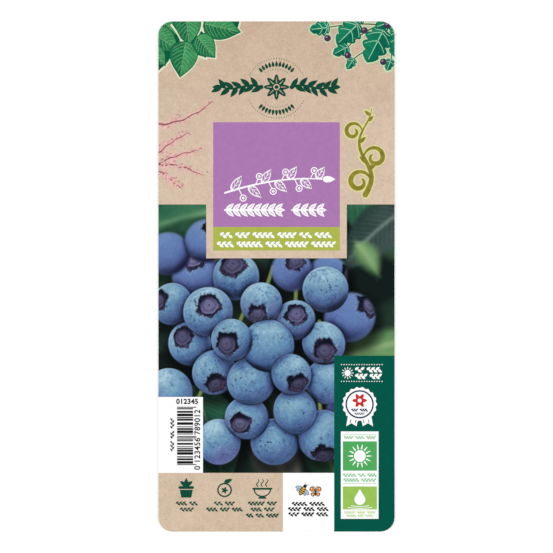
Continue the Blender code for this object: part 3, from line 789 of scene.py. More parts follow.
def lay_ink(name, shapes, finish, slot, *stands_for, cut_at_edge=False):
    """One piece of ink from flat shapes, each an outline and its height, that may stand for nodes."""
    form = bmesh.new()
    for outline, top in shapes:
        shape = bmesh.new()
        shape.faces.new([shape.verts.new((x * MM, y * MM, ink_floor)) for x, y in outline])
        for (x, y), angle in sheet_edges() if cut_at_edge else ():
            bmesh.ops.bisect_plane(
                shape, geom=shape.verts[:] + shape.edges[:] + shape.faces[:], dist=1e-7,
                plane_co=(x * MM, y * MM, 0.0), plane_no=(*away((0.0, 0.0), 1.0, angle), 0.0),
                clear_outer=True)
        if shape.faces:
            grown = bmesh.ops.extrude_face_region(shape, geom=shape.faces[:])
            for item in grown["geom"]:
                if isinstance(item, bmesh.types.BMVert):
                    item.co.z = ink_floor + top * MM
            bmesh.ops.recalc_face_normals(shape, faces=shape.faces)
            flat = bpy.data.meshes.new("shape")
            shape.to_mesh(flat)
            form.from_mesh(flat)
            bpy.data.meshes.remove(flat)
        shape.free()
    piece = seat_piece(name, form, finish, slot)
    if stands_for:
        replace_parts(piece, *stands_for)


def stacked(outlines, floor=print_height, step=hair):
    """Give each outline its own height, a hair above the one before."""
    return [(outline, floor + step * count) for count, outline in enumerate(outlines)]


def print_leaf(layers, leaf, top, rim, sides, side, veins, lobes=0):
    """Add a leaf's rim, blade, shaded half and veins to their layers."""
    layers["rims"].append((blade_outline(*leaf, rim, sides[0], 0, lobes), top - 0.002))
    layers["blades"].append((blade_outline(*leaf, 0.0, sides[1], 0, lobes), top))
    layers["shades"].append((blade_outline(*leaf, 0.0, sides[0], side, lobes), top + 0.002))
    layers["veins"] += [(vein, top + 0.004) for vein in vein_outlines(*leaf, *veins, lobes)]


# Each leaf is its base, heading in degrees, length and width. The last ones lie on top.
back_leaves = [
    ((-46, 110), -80, 15, 10.5), ((-26, 110.5), -104, 10.5, 8.5), ((-37, 104), -58, 13.5, 9.5),
    ((-48.5, 99), -97, 12, 9), ((-20.5, 111.5), -66, 8.5, 7), ((-43, 97), -64, 10, 8),
]
front_leaves = [
    ((-51.5, 111), -42, 13, 10.5), ((-38.5, 112.5), -84, 14.5, 11.5), ((-30.5, 107), -13, 15.5, 10.5),
    ((-53, 103.5), -34, 13.5, 10.5), ((-38.4, 99.4), -99, 15, 11.5), ((-33.6, 101.6), -50, 11.5, 8.8),
    ((-53.5, 96.5), -48, 9.5, 7.5),
]
cream_twigs = [
    ((-44.5, 106.4), (-41.6, 103.0), (-40.0, 98.6)), ((-31.5, 109.5), (-30.6, 106.0), (-33.4, 102.0)),
]
halo_shapes = []
back_shapes = []
layers = {"rims": [], "blades": [], "shades": [], "veins": []}
for count, (base, degrees, length, width) in enumerate(back_leaves + front_leaves):
    leaf = (base, math.radians(degrees), length, width)
    top = 0.012 + leaf_step * count
    halo_shapes.append((blade_outline(*leaf, 0.70), 0.004 + hair * count))
    if count < len(back_leaves):
        back_shapes.append((blade_outline(*leaf, 0.0, 30), top))
    else:
        print_leaf(layers, leaf, top, 0.26, (22, 30), -1, (7, 0.40, 0.22))
halo_shapes += stacked([stroke(bend(*points, 6), 0.9, 0.45) for points in cream_twigs], 0.085)
back_shapes += layers["rims"]
for ink in (
    ("left_leaf_halo", halo_shapes, printed_ink("cream_halo", (226, 228, 198)), "white_ink"),
    ("left_leaf_backs", back_shapes, printed_ink("back_leaf_green", (6, 92, 62), 0.20), "dark_green_ink"),
    ("left_leaf_blades", layers["blades"], printed_ink("leaf_green", (60, 142, 88), 0.24),
     "leaf_green_ink", "corner_leaves_left"),
    ("left_leaf_shades", layers["shades"], printed_ink("leaf_shade_green", (30, 114, 72), 0.24),
     "leaf_green_ink"),
    ("left_leaf_veins", layers["veins"], printed_ink("leaf_vein_green", (116, 180, 126)), "leaf_green_ink"),
):
    lay_ink(*ink, cut_at_edge=True)


# The sprigs in the top right corner.
# Round-lobed leaves on thin brown stems with a few dark berries, printed like the leaves opposite
# and cut off with the sheet in the same way.
def disc(centre, radius, sides=20):
    return [away(centre, radius, 2 * math.pi * side / sides) for side in range(sides)]


sprig_stems = [
    bend((53, 104), (41, 109), (21.5, 105.4)), bend((44, 106.4), (36, 104), (30, 96.8)),
    bend((52.5, 101), (48.5, 98), (48.6, 91.6)), bend((41, 96), (36, 95.5), (32.5, 91.8)),
]
sprig_leaves = [
    ((37.5, 109.5), 172, 8.5, 7.0), ((50, 108.5), 200, 8.5, 7.0), ((22.4, 105.5), 187, 8.2, 6.4),
    ((34.8, 107.2), 224, 12.6, 10.2), ((51.8, 104.5), 262, 11.5, 9.6), ((45.4, 104.6), 243, 15.4, 12.0),
    ((30.4, 97.4), 208, 7.0, 5.6), ((48.6, 92.2), 250, 5.4, 4.4), ((32.8, 92.2), 236, 5.0, 4.0),
]
sprig_berries = [(37.2, 104.2), (21.6, 100.9), (45.2, 90.9), (30.2, 93.6), (46.9, 106.4)]
halo_shapes = stacked([stroke(path, 0.5, 0.4, grow=0.5) for path in sprig_stems], 0.004)
stem_shapes = stacked([stroke(path, 0.62, 0.42) for path in sprig_stems], 0.010)
layers = {"rims": [], "blades": [], "shades": [], "veins": []}
for count, (base, degrees, length, width) in enumerate(sprig_leaves):
    leaf = (base, math.radians(degrees), length, width)
    lobes, vein_size = (4, 1.0) if length > 8 else (3, 0.7)
    halo_shapes.append((blade_outline(*leaf, 0.6, 48, 0, lobes), 0.006 + hair * count))
    veins = (lobes, 0.46 * vein_size, 0.32 * vein_size)
    print_leaf(layers, leaf, 0.016 + leaf_step * count, 0.18, (48, 48), 1, veins, lobes)
halo_shapes += [(disc(spot, 1.85), 0.005) for spot in sprig_berries]
berry_shapes = [(disc(spot, 1.4), 0.11) for spot in sprig_berries]
glint_shapes = [(disc((x - 0.4, y + 0.45), 0.45), 0.113) for x, y in sprig_berries]
for ink in (
    ("right_sprig_halo", halo_shapes, printed_ink("mint_halo", (196, 224, 184)), "white_ink"),
    ("right_sprig_stems", stem_shapes, printed_ink("stem_brown", (104, 56, 46)), "black_ink"),
    ("right_sprig_blades", layers["blades"], printed_ink("sprig_green", (20, 124, 92), 0.18),
     "sprig_green_ink", "corner_leaves_right"),
    ("right_sprig_shades", layers["shades"] + layers["rims"],
     printed_ink("sprig_shade_green", (6, 102, 78), 0.18), "sprig_green_ink"),
    ("right_sprig_veins", layers["veins"], printed_ink("sprig_vein_green", (158, 216, 178)),
     "sprig_green_ink"),
    ("right_sprig_berries", berry_shapes, printed_ink("sprig_berry", (68, 50, 74), 0.15), "black_ink"),
    ("right_sprig_glints", glint_shapes, printed_ink("sprig_berry_light", (150, 128, 158)), "white_ink"),
):
    lay_ink(*ink, cut_at_edge=True)


# The ornament over the title.
# A dark green flower between two full garlands, with a ring of seeds and fine dots above and
# below it, printed straight on the kraft.
emblem_print = (printed_ink("emblem_green", (16, 72, 54), 0.10), "dark_green_ink")
emblem_middle = (0.0, 80.2)
ring_middle = (0.0, 79.7)
petal_count = 8
garland_start = 6.5
garland_end = 23.4


def petal_ring(centre, radius, depth, petals, points_per_petal=12):
    """A round outline whose edge swings in and out once for each petal."""
    outline = []
    for step in range(petals * points_per_petal):
        angle = 2 * math.pi * step / (petals * points_per_petal)
        outline.append(away(centre, radius - depth * (0.5 - 0.5 * math.cos(petals * angle)), angle))
    return outline


def ray(centre, angle, *reaches):
    """Points on a straight line out from a centre."""
    return [away(centre, reach, angle) for reach in reaches]


def leaf_rope(path, count, length, width, lean, sides=10):
    """Leaves that spring from a path in turn to its left and its right, leaning forward."""
    leaves = []
    for leaf in range(count):
        index = round((len(path) - 1) * leaf / (count - 1))
        heading = heading_at(path, index) + (lean if leaf % 2 == 0 else -lean)
        leaves.append(blade_outline(path[index], heading, length, width, sides=sides))
    return leaves


bloom = petal_ring(emblem_middle, 5.4, 2.3, petal_count)
bloom_marks = [disc(emblem_middle, 1.35)]
for petal in range(petal_count):
    vein = ray(emblem_middle, 2 * math.pi * petal / petal_count, 2.0, 3.0, 4.1)
    bloom_marks.append(stroke(vein, 0.36, 0.14))
emblem_pale = printed_ink("emblem_pale", (212, 190, 166))
lay_ink("emblem_bloom", [(bloom, 0.02)], *emblem_print, "emblem_flower")
lay_ink("emblem_bloom_marks", stacked(bloom_marks, 0.026), emblem_pale, "kraft_print")
lay_ink("emblem_bloom_heart", [(disc(emblem_middle, 0.85), 0.034)], *emblem_print)

seed_shapes = []
for middle_angle in (math.pi / 2, -math.pi / 2):
    for seed in range(-5, 6):
        angle = middle_angle + seed * math.radians(8.2)
        seed_shapes.append(blade_outline(away(ring_middle, 9.1, angle), angle, 2.5, 1.15, sides=10))
    for radius, spread, count in ((12.6, 64.0, 27), (8.1, 34.0, 10)):
        for dot in range(count):
            angle = middle_angle + math.radians(spread * (2 * dot / (count - 1) - 1))
            seed_shapes.append(disc(away(ring_middle, radius, angle), 0.19, 8))
lay_ink("emblem_seeds", stacked(seed_shapes), *emblem_print)

for name, side in (("left", -1), ("right", 1)):
    path = []
    for step in range(61):
        share = step / 60
        x = garland_start + (garland_end - garland_start) * share
        path.append((side * x, emblem_middle[1] + 0.7 * math.sin(2 * math.pi * share)))
    shapes = [stroke(path, 1.1, 0.7), disc(path[0], 0.95, 16)]
    shapes += leaf_rope(path, 11, 4.9, 2.1, math.radians(42))
    shapes.append(blade_outline(path[-1], 0.0 if side > 0 else math.pi, 3.9, 2.1, sides=12))
    vine = f"emblem_vine_{name}"
    lay_ink(f"emblem_garland_{name}", stacked(shapes), *emblem_print, vine)


# The pink twigs.
# Fine twigs in blossom that come in from the left edge: a pale wash, thin rose lines and small
# petals, thickest by the edge and faint at the tips.
twig_pink = printed_ink("twig_pink", (208, 144, 146), 0.18)
twig_draw = np.random.default_rng(7)
main_twigs = [
    ((-52, 64.5), (-40, 63.5), (-26.8, 74.2), 0.72), ((-52, 50.5), (-44, 58), (-37.5, 60.5), 0.52),
    ((-52, 46.5), (-44, 51.5), (-31.5, 54.0), 0.55), ((-52, 47.0), (-41, 48.5), (-31.0, 42.5), 0.66),
    ((-52, 46.0), (-47, 43.5), (-40.5, 37.2), 0.5),
]
twig_points = 24
wash_shapes = [stroke(bend((-50, 43), (-49.7, 54), (-50, 66)), 1.8, 1.4)]
twig_shapes = []
spur_shapes = []
blossom_shapes = []
for start, control, end, width in main_twigs:
    curve = enumerate(bend(start, control, end, twig_points))
    path = [(x, y + 0.28 * math.sin(0.9 * index)) for index, (x, y) in curve]
    wash_shapes.append(stroke(path, 3.2, 0.8))
    twig_shapes.append(stroke(path, width, 0.24))
    for index in range(2, twig_points):
        side = 1 if index % 2 else -1
        heading = heading_at(path, index) + side * twig_draw.uniform(0.45, 0.95)
        reach = twig_draw.uniform(0.8, 3.0) * (1.25 - index / 30)
        elbow = away(path[index], 0.55 * reach, heading)
        tip = away(elbow, 0.5 * reach, heading - side * 0.35)
        spur_shapes.append(stroke(bend(path[index], elbow, tip, 6), 0.32, 0.18))
        for _ in range(5 if index < 12 else 3):
            spot = (tip[0] + twig_draw.normal(0, 0.75), tip[1] + twig_draw.normal(0, 0.75))
            turn = twig_draw.uniform(0, 2 * math.pi)
            blossom_shapes.append(blade_outline(spot, turn, twig_draw.uniform(0.8, 1.5), 0.7, sides=6))
for name, shapes, height, ink, *node in (
    ("wash", wash_shapes, 0.004, printed_ink("twig_wash", (224, 190, 174))),
    ("stems", twig_shapes, 0.060, printed_ink("twig_rose", (150, 88, 94), 0.22), "pink_twig"),
    ("spurs", spur_shapes, 0.008, twig_pink),
    ("blossom", blossom_shapes[::2], 0.012, printed_ink("blossom_pink", (234, 186, 184), 0.12)),
    ("petals", blossom_shapes[1::3], 0.012, twig_pink),
):
    lay_ink(f"pink_twig_{name}", stacked(shapes, height), ink, "pink_ink", *node, cut_at_edge=True)


# The flourish at the right.
# A climbing tendril drawn as with a broad brush, in olive over a pale yellow shadow line.
flourish_foot = (37.6, 34.6)
flourish_rise = 36.6
flourish_reach = 2.6


def curl(centre, outer, inner, start, turns, steps=40):
    """A spiral that winds in from its outer radius to its inner one."""
    points = []
    for step in range(steps + 1):
        share = step / steps
        points.append(away(centre, outer + (inner - outer) * share, start + turns * 2 * math.pi * share))
    return points


tendril = []
for step in range(61):
    share = step / 60
    sway = flourish_reach * math.sin(2.5 * math.pi * share)
    tendril.append((flourish_foot[0] + sway, flourish_foot[1] + flourish_rise * share))
brush_marks = [(tendril, 2.5, 0.4, 0.0)]
for share, side, radius, weight in ((0.15, -1, 5.0, 1.5), (0.44, 1, 4.7, 1.35), (0.73, -1, 3.9, 1.05)):
    x, y = tendril[round(share * 60)]
    start = math.pi if side > 0 else 0.0
    path = curl((x + side * radius, y), radius, radius * 0.34, start, -side * 1.12)
    brush_marks.append((path, 0.7, 0.75, weight))
flourish_leaves = []
for share, side in ((0.30, 1), (0.37, -1), (0.60, 1), (0.85, 1), (0.92, -1)):
    heading = math.pi / 2 - side * math.radians(48)
    flourish_leaves.append((tendril[round(share * 60)], heading, 5.2 - 2.0 * share, 2.1 - 0.6 * share))
for name, grow, height, ink, *node in (
    ("shadow", 0.5, 0.006, printed_ink("flourish_halo", (224, 216, 158))),
    ("brush", 0.0, 0.016, printed_ink("flourish_olive", (172, 168, 72), 0.14), "flourish"),
    ("core", -0.16, 0.022, printed_ink("flourish_deep", (140, 132, 50), 0.26)),
):
    shapes = [stroke(*mark, grow=grow) for mark in brush_marks]
    shapes += [blade_outline(*leaf, grow, 14) for leaf in flourish_leaves]
    lay_ink(f"flourish_{name}", stacked(shapes, height), ink, "olive_ink", *node)


# The title block.
# A thin white sprig of leaves and berries over two bold laurels on the purple panel, and two lines
# of short white ropes on the lime band, all plain ornament.
title_floor = 0.02
sprig_path = bend((-21.8, 35.4), (0.0, 42.6), (19.6, 41.2), 30)
line_shapes = [stroke(sprig_path, 0.8, 0.45)]
leaf_shapes = []
hollow_shapes = []
rib_shapes = []
for count, share in enumerate((0.08, 0.22, 0.36, 0.50, 0.64, 0.78, 0.92)):
    heading = 0.12 + (1 if count % 2 == 0 else -1) * math.radians(50)
    leaf = (sprig_path[round(share * 30)], heading, 7.8 - 1.8 * share)
    leaf_shapes.append(blade_outline(*leaf, 3.5))
    hollow_shapes.append(blade_outline(*leaf, 3.5, -0.42))
    rib_shapes += vein_outlines(*leaf[:2], leaf[2] - 0.6, 2.7, 3, 0.32, 0.22)
leaf_shapes.append(blade_outline(sprig_path[-1], 0.0, 5.4, 2.7))
for count, share in enumerate((0.15, 0.29, 0.43, 0.57, 0.71, 0.85)):
    side, reach = (-1, 4.4) if count % 2 == 0 else (1, 3.8)
    stalk = ray(sprig_path[round(share * 30)], side * math.radians(64), 0.0, reach / 2, reach)
    line_shapes.append(stroke(stalk, 0.38, 0.38))
    leaf_shapes.append(disc(stalk[-1], 1.5))
    hollow_shapes.append(disc(stalk[-1], 1.08))
    rib_shapes.append(petal_ring(stalk[-1], 0.75, 0.4, 5, 6))
title_leaves = stacked(leaf_shapes, title_floor + print_height)
lay_ink("title_sprig_leaves", title_leaves, *white_print, "title_sprig")
lay_ink("title_sprig_hollows", stacked(hollow_shapes, title_floor + 0.024), title_purple, "purple_ink")
lay_ink("title_sprig_ribs", stacked(rib_shapes, title_floor + 0.032), *white_print)
lay_ink("title_sprig_stem", stacked(line_shapes, title_floor + 0.012), *white_print)

laurel_lean = math.radians(42)
for number, pairs in ((1, 8), (2, 4)):
    low, high = (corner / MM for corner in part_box(f"title_bar_{number}"))
    middle = (low.y + high.y) / 2
    run = high.x - low.x - 4.8
    path = [(low.x + 0.6 + run * step / (pairs - 1), middle) for step in range(pairs)]
    shapes = [stroke([(low.x, middle)] + path, 0.8, 0.6), blade_outline(path[-1], 0.0, 4.2, 1.9, sides=16)]
    ribs = [stroke(ray(path[-1], 0.0, 1.1, 2.0, 3.1), 0.3, 0.15)]
    for spot in path:
        for heading in (laurel_lean, -laurel_lean):
            shapes.append(blade_outline(spot, heading, 4.3, 1.85, sides=16))
            ribs.append(stroke(ray(spot, heading, 1.2, 2.0, 3.2), 0.3, 0.15))
    laurel = f"title_border_{number}"
    shapes = stacked(shapes, title_floor + print_height)
    lay_ink(laurel, shapes, *white_print, f"title_bar_{number}")
    lay_ink(f"{laurel}_ribs", stacked(ribs, title_floor + 0.024), title_purple, "purple_ink")


def rope_line(middle_x, middle_y, width, height, ropes, space, seed):
    """Short ropes of leaves, uneven in length, that fill a line."""
    lengths = np.random.default_rng(seed).uniform(0.7, 1.5, ropes)
    lengths *= (width - space * (ropes - 1)) / lengths.sum()
    leaf_length = 0.86 * height
    shapes = []
    x = middle_x - width / 2
    for length in lengths:
        run = length - 0.8 * leaf_length
        count = max(3, round(run / (0.44 * height)) + 1)
        path = [(x + run * step / (count - 1), middle_y) for step in range(count)]
        shapes += leaf_rope(path, count, leaf_length, 0.48 * height, math.radians(36), 8)
        x += length + space
    return shapes


claim_shapes = rope_line(-0.2, 17.5, 47.4, 2.5, 6, 1.1, 3) + rope_line(0.0, 13.6, 50.4, 2.5, 5, 1.1, 8)
lay_ink("claim_ropes", stacked(claim_shapes, title_floor + print_height), *white_print)


# The bar code field.
# Black stripes on white, drawn by a plain counting rule that encodes nothing, with plain rising
# numbers beside and above them and a grey rope of leaves at the left.
ink_black = printed_ink("ink_black", (28, 26, 28), 0.10)
black_print = (ink_black, "black_ink")
code_bars = sorted(name for name in nodes if name.startswith("code_bar_"))
code_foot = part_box(code_bars[-1])[0].y / MM
code_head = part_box(code_bars[0])[1].y / MM
long_stripes = (0, 11, 12, 23)
stripe_sizes = (2, 3, 5, 7)
gap_sizes = (2, 3, 5)
stripe_shares = []
for count in range(len(code_bars)):
    if count in long_stripes:
        stripe_shares.append((2, 2))
    else:
        stripe = stripe_sizes[(count + count // 4) % 4]
        stripe_shares.append((stripe, gap_sizes[(2 * count + count // 3) % 3]))
share_size = (code_head - code_foot) / (sum(map(sum, stripe_shares)) - stripe_shares[-1][1])
ink_spread = 0.05
stripe_shapes = []
stripe_top = code_head
for name, (stripe, gap) in zip(code_bars, stripe_shares):
    low, high = (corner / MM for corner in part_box(name))
    stripe_foot = stripe_top - stripe * share_size
    top, foot = stripe_top + ink_spread, stripe_foot - ink_spread
    stripe_shapes.append(([(low.x, foot), (high.x, foot), (high.x, top), (low.x, top)], 0.02))
    stripe_top = stripe_foot - gap * share_size
lay_ink("code_stripes", stripe_shapes, *black_print, *code_bars)


def lay_numbers(name, digits, size, middle, turn, weight):
    """Flat printed digits from Blender's own font, as one closed mesh."""
    height = 0.02
    drawn = bpy.data.curves.new(name, "FONT")
    drawn.body = digits
    drawn.size = size * MM
    drawn.align_x = "CENTER"
    drawn.align_y = "CENTER"
    drawn.space_character = 1.06
    drawn.offset = weight * MM
    drawn.extrude = height * MM / 2
    holder = stand(name, drawn)
    bpy.context.view_layer.update()
    mesh = bpy.data.meshes.new_from_object(holder.evaluated_get(bpy.context.evaluated_depsgraph_get()))
    form = bmesh.new()
    form.from_mesh(mesh)
    bpy.data.objects.remove(holder, do_unlink=True)
    bpy.data.meshes.remove(mesh)
    bmesh.ops.remove_doubles(form, verts=form.verts, dist=1e-7)
    bmesh.ops.recalc_face_normals(form, faces=form.faces)
    bmesh.ops.rotate(form, cent=(0, 0, 0), matrix=Matrix.Rotation(turn, 3, "Z"), verts=form.verts)
    seat = (middle[0] * MM, middle[1] * MM, ink_floor + height * MM / 2)
    bmesh.ops.translate(form, vec=seat, verts=form.verts)
    seat_piece(name, form, *black_print)


lay_numbers("code_digits", "0 123456 789012", 3.42, (-33.4, -69.1), math.pi / 2, 0.07)
lay_numbers("code_heading", "012345", 2.95, (-37.8, -53.0), 0.0, 0.11)
upright_rope = []
for outline in rope_line(-66.9, 0.0, 14.0, 1.7, 3, 0.9, 4):
    upright_rope.append(place_points(outline, (-44.1, 0.0), math.pi / 2))
ink_grey = printed_ink("ink_grey", (78, 76, 78), 0.08)
lay_ink("code_side_rope", stacked(upright_rope), ink_grey, "black_ink")


# The care signs.
# Three dark green pictograms on the kraft at the foot: a planted pot, a fruit and a steaming bowl,
# with ropes of leaves under them.
sign_print = (printed_ink("sign_green", (14, 76, 58), 0.08), "dark_green_ink")
sign_y = -89.8


def oval(centre, half_width, half_height, turn=0.0, sides=28):
    turns = [2 * math.pi * side / sides for side in range(sides)]
    outline = [(half_width * math.cos(angle), half_height * math.sin(angle)) for angle in turns]
    return place_points(outline, centre, turn)


def bar(left, right, bottom, top):
    """A flat bar with round ends."""
    radius = (top - bottom) / 2
    middle = (top + bottom) / 2
    return stroke([(left + radius, middle), (right - radius, middle)], top - bottom, top - bottom)


def half_bowl(middle, radius, depth):
    """The lower half of an oval."""
    turns = [math.pi + step * math.pi / 16 for step in range(17)]
    return [(middle[0] + radius * math.cos(turn), middle[1] + depth * math.sin(turn)) for turn in turns]


pot_x = -38.2
pot_foot = sign_y - 3.8
pot_rim = sign_y - 0.5
pot_body = [(pot_x + across, pot_foot) for across in (-2.1, 2.1)]
pot_body += [(pot_x + across, pot_rim) for across in (2.75, -2.75)]
pot_shapes = [pot_body, bar(pot_x - 3.3, pot_x + 3.3, sign_y - 0.15, sign_y + 1.05)]
pot_shapes.append(stroke(ray((pot_x, sign_y + 0.8), math.pi / 2, 0.0, 1.0, 2.0), 0.5, 0.4))
for degrees in (36, 90, 144):
    pot_shapes.append(blade_outline((pot_x, sign_y + 1.2), math.radians(degrees), 3.4, 1.7, sides=14))
lay_ink("pot_sign", stacked(pot_shapes), *sign_print, "pot_icon")

fruit_x = -22.0
fruit_y = sign_y - 0.6
fruit_middle = (fruit_x, fruit_y)
fruit_stalk = [(fruit_x, fruit_y + 2.6), (fruit_x + 0.15, fruit_y + 3.5), (fruit_x + 0.6, fruit_y + 4.3)]
fruit_shapes = [oval(fruit_middle, 3.15, 3.05), stroke(fruit_stalk, 0.6, 0.5)]
fruit_shapes.append(blade_outline((fruit_x + 0.25, fruit_y + 3.3), math.radians(22), 3.4, 1.7, sides=14))
fruit_core = petal_ring((fruit_x, fruit_y - 0.1), 1.5, 0.75, 5, 8)
lay_ink("fruit_sign", stacked(fruit_shapes), *sign_print, "fruit_icon")
lay_ink("fruit_sign_hollow", [(oval(fruit_middle, 2.5, 2.4), 0.020)], kraft_foot, "kraft_print")
lay_ink("fruit_sign_core", [(fruit_core, 0.024)], *sign_print)

bowl_x = -6.0
bowl_shapes = [half_bowl((bowl_x, sign_y), 3.8, 3.6)]
bowl_shapes.append(bar(bowl_x - 4.3, bowl_x + 4.3, sign_y - 0.4, sign_y + 0.35))
bowl_shapes.append(bar(bowl_x - 1.7, bowl_x + 1.7, sign_y - 4.3, sign_y - 3.5))
for count in range(3):
    x = bowl_x - 1.9 + 1.9 * count
    y = sign_y + 2.6
    bowl_shapes.append(stroke(bend((x, y - 1.7), (x - 1.1, y - 0.7), (x + 0.1, y), 6), 0.45, 0.40))
    bowl_shapes.append(stroke(bend((x + 0.1, y), (x + 0.8, y + 0.6), (x + 0.1, y + 1.3), 6), 0.40, 0.30))
lay_ink("bowl_sign", stacked(bowl_shapes), *sign_print, "bowl_icon")
bowl_hollow = half_bowl((bowl_x, sign_y - 0.5), 3.1, 2.5)
lay_ink("bowl_sign_hollow", [(bowl_hollow, 0.022)], kraft_foot, "kraft_print")

row_pitch = 2.55
caption_shapes = []
for middle_x, widths in ((-37.9, (9.3, 5.9)), (-22.0, (8.9, 15.5)), (-5.9, (12.3, 10.2, 14.0))):
    for row, width in enumerate(widths):
        ropes = 1 if width < 7 else 2 if width < 13 else 3
        place = (middle_x, -96.1 - row_pitch * row, width)
        caption_shapes += rope_line(*place, 1.75, ropes, 0.8, int(width * 10) + row)
lay_ink("care_captions", stacked(caption_shapes, 0.012), *sign_print)


# The visitors' field.
# A bee and a butterfly in small line drawing on white, over three black ropes of leaves.
bee_middle = (10.9, -90.7)
bee_turn = math.radians(58)
amber = printed_ink("bee_amber", (230, 178, 56))
wing_blue = printed_ink("wing_blue", (172, 190, 210))
wing_edge = printed_ink("wing_edge", (76, 88, 112))
butterfly_orange = printed_ink("butterfly_orange", (214, 138, 62))


def from_bee(x, y):
    return place_points([(x, y)], bee_middle, bee_turn)[0]


wing_edges = []
wing_fills = []
for x, y, length, width, turn in ((0.5, 1.8, 1.65, 0.8, 1.95), (-0.5, 1.4, 1.1, 0.56, 2.3)):
    for side in (-1, 1):
        spot = from_bee(x, side * y)
        wing_edges.append(oval(spot, length, width, bee_turn + side * turn))
        wing_fills.append(oval(spot, length - 0.22, width - 0.22, bee_turn + side * turn))
lay_ink("bee_wing_edges", stacked(wing_edges, 0.012), wing_edge, "black_ink")
lay_ink("bee_wings", stacked(wing_fills), wing_blue, "white_ink")
bee_body = [oval(bee_middle, 2.15, 1.15, bee_turn), oval(from_bee(2.25, 0.0), 0.78, 0.72, bee_turn)]
for side in (-1, 1):
    feeler = [from_bee(2.5, 0.2 * side), from_bee(3.2, 0.5 * side), from_bee(3.6, 0.9 * side)]
    bee_body.append(stroke(feeler, 0.22, 0.18))
lay_ink("bee_body", stacked(bee_body, 0.02), *black_print, "bee_icon")
bands = [oval(from_bee(1.25, 0.0), 0.36, 0.66, bee_turn, 16)]
for along in (-1.3, -0.45, 0.42):
    half = 1.12 * math.sqrt(1 - (along / 2.2) ** 2) - 0.08
    bands.append(oval(from_bee(along, 0.0), 0.26, half, bee_turn, 16))
lay_ink("bee_bands", stacked(bands, 0.026), amber, "amber_ink")

butterfly_middle = (16.5, -91.3)
butterfly_edges = []
butterfly_fills = []
butterfly_dots = []
for side in (-1, 1):
    for x, y, length, width, degrees in ((0.25, 0.2, 2.7, 2.2, 42), (0.2, -0.1, 2.1, 1.8, -42)):
        heading = math.radians(degrees if side > 0 else 180 - degrees)
        base = (butterfly_middle[0] + side * x, butterfly_middle[1] + y)
        spot, inner_tip, tip = ray(base, heading, 0.72 * length, length - 0.3, length)
        inward = heading + math.pi
        butterfly_edges.append(blade_outline(tip, inward, length, width, sides=12))
        butterfly_fills.append(blade_outline(inner_tip, inward, length - 0.6, width - 0.5, sides=12))
        butterfly_dots.append(disc(spot, 0.2, 10))
butterfly_body = [oval(butterfly_middle, 0.28, 1.7)]
for side in (-1, 1):
    x, y = butterfly_middle
    feeler = bend((x, y + 1.4), (x + side * 0.3, y + 2.3), (x + side * 0.9, y + 2.7), 5)
    butterfly_body.append(stroke(feeler, 0.18, 0.16))
wing_edges = stacked(butterfly_edges, 0.014)
lay_ink("butterfly_wing_edges", wing_edges, *black_print, "butterfly_icon")
lay_ink("butterfly_wings", stacked(butterfly_fills, 0.020), butterfly_orange, "amber_ink")
lay_ink("butterfly_dots", stacked(butterfly_dots, 0.024), *white_print)
lay_ink("butterfly_body", stacked(butterfly_body, 0.026), *black_print)

visitor_shapes = []
for row, (width, ropes) in enumerate(((14.0, 2), (17.2, 3), (16.9, 3))):
    visitor_shapes += rope_line(13.5, -96.3 - 2.2 * row, width, 1.75, ropes, 0.8, 5 + row)
lay_ink("visitor_captions", stacked(visitor_shapes, 0.012), *black_print)


# The side panel's heading.
# A small white sun and two ropes of leaves between two dotted rules, in white on the green.
rule_left = 27.5
rule_right = 44.7
dot_gaps = 16
dot_shapes = []
for rule_y in (-37.3, -44.4):
    for count in range(dot_gaps + 1):
        x = rule_left + (rule_right - rule_left) * count / dot_gaps
        dot_shapes.append(disc((x, rule_y), 0.24, 10))
lay_ink("side_rules", stacked(dot_shapes, 0.02, 0.0), *white_print)
sun_middle = (30.1, -40.85)
sun_shapes = [disc(sun_middle, 1.3)]
for count in range(12):
    sun_shapes.append(stroke(ray(sun_middle, math.pi * count / 6, 1.75, 2.15, 2.5), 0.40, 0.24))
lay_ink("side_sun", stacked(sun_shapes, 0.02, 0.0), *white_print)
heading_shapes = rope_line(39.0, -39.5, 11.4, 2.3, 2, 0.9, 12)
heading_shapes += rope_line(39.0, -42.3, 11.4, 2.3, 2, 0.9, 13)
lay_ink("side_heading", stacked(heading_shapes, 0.012), *white_print)


# The badge.
# A white rosette with two ribbon tails, a navy ring and a red flower over two navy ropes.
badge_middle = (35.2, -54.1)
badge_navy = printed_ink("badge_navy", (32, 48, 92), 0.08)
rosette = petal_ring(badge_middle, 7.4, 0.55, 18, 8)
tails = []
pleats = []
for side in (-1, 1):
    x, y = badge_middle
    tail = [(0.5, -5.0), (4.9, -4.6), (5.7, -9.3), (3.5, -8.0), (1.3, -9.3)]
    tails.append(([(x + side * across, y + up) for across, up in tail], 0.016))
    for inset in (1.5, 3.7):
        fold = [(x + side * (inset + out), y - down) for out, down in ((0, 6.6), (0.2, 7.3), (0.35, 7.9))]
        pleats.append((stroke(fold, 0.3, 0.3), 0.02))
lay_ink("badge_paper", [(rosette, 0.02)] + tails, *white_print, "badge_rosette")
lay_ink("badge_ring", [(disc(badge_middle, 6.0, 48), 0.024)] + pleats, badge_navy, "black_ink")
lay_ink("badge_field", [(disc(badge_middle, 5.35, 48), 0.028)], *white_print)
flower_middle = (badge_middle[0], badge_middle[1] + 1.6)
badge_petals = petal_ring(flower_middle, 3.1, 1.35, 6)
badge_red = printed_ink("badge_red", (206, 46, 48), 0.08)
lay_ink("badge_flower", [(badge_petals, 0.032)], badge_red, "red_ink", "badge_centre")
lay_ink("badge_flower_heart", [(disc(flower_middle, 0.85), 0.036)], *white_print)
badge_shapes = rope_line(35.2, badge_middle[1] - 2.45, 7.2, 1.3, 2, 0.6, 3)
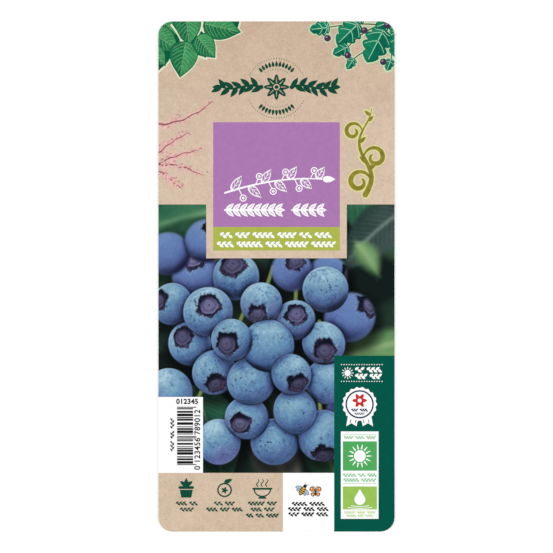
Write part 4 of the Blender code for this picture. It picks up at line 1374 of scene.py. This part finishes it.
badge_shapes += rope_line(35.2, badge_middle[1] - 4.0, 4.4, 1.0, 1, 0.6, 4)
lay_ink("badge_ropes", stacked(badge_shapes, 0.030), badge_navy, "black_ink")


# The certificate.
# A white slip with a green block that shows a sun, a lime block that shows a drop, thin green
# rules and fine pale ropes.
coat_node("certificate_panel", white_ink)
coat_node("certificate_sun_block", printed_ink("certificate_green", (80, 172, 94)))
coat_node("certificate_drop_block", printed_ink("certificate_lime", (154, 196, 88)))
coat_node("certificate_drop", white_ink)
block_low, block_high = (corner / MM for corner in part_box("certificate_sun_block"))
block_middle = (block_low.x + block_high.x) / 2
slip_shapes = []
for middle_y, width, height, ropes in ((-68.2, 13.6, 1.3, 3), (-84.1, 14.4, 1.5, 3), (-86.2, 14.0, 1.5, 2)):
    slip_shapes += rope_line(block_middle, middle_y, width, height, ropes, 0.7, round(width * 10))
for rule_y in (-67.0, -87.6):
    slip_shapes.append(stroke([(block_low.x + 0.1, rule_y), (block_high.x - 0.1, rule_y)], 0.2, 0.2))
slip_ink = printed_ink("certificate_pale", (150, 204, 160))
lay_ink("certificate_ropes", stacked(slip_shapes, 0.032), slip_ink, "certificate_green_ink")
foot_shapes = []
for middle_y, width in ((-99.9, 13.4), (-101.3, 11.4)):
    foot_shapes += rope_line(block_middle, middle_y, width, 1.1, 3, 0.6, round(width * 10))
foot_ink = printed_ink("certificate_fine_lime", (190, 218, 138))
lay_ink("certificate_foot", stacked(foot_shapes, 0.032), foot_ink, "certificate_lime_ink")
big_sun = (block_middle, -76.0)
big_sun_shapes = [disc(big_sun, 2.5, 32)]
for count in range(14):
    big_sun_shapes.append(stroke(ray(big_sun, math.pi * count / 7, 3.2, 4.0, 4.9), 0.7, 0.25))
big_sun_print = stacked(big_sun_shapes, 0.06, 0.0)
lay_ink("certificate_sun_rays", big_sun_print, *white_print, "certificate_sun")
ripples = []
for half, y in ((3.6, -97.0), (5.0, -97.75)):
    path = bend((block_middle - half, y), (block_middle, y - 0.9), (block_middle + half, y), 10)
    ripples.append(stroke(path, 0.3, 0.3))
lay_ink("certificate_ripples", stacked(ripples, 0.06, 0.0), *white_print)
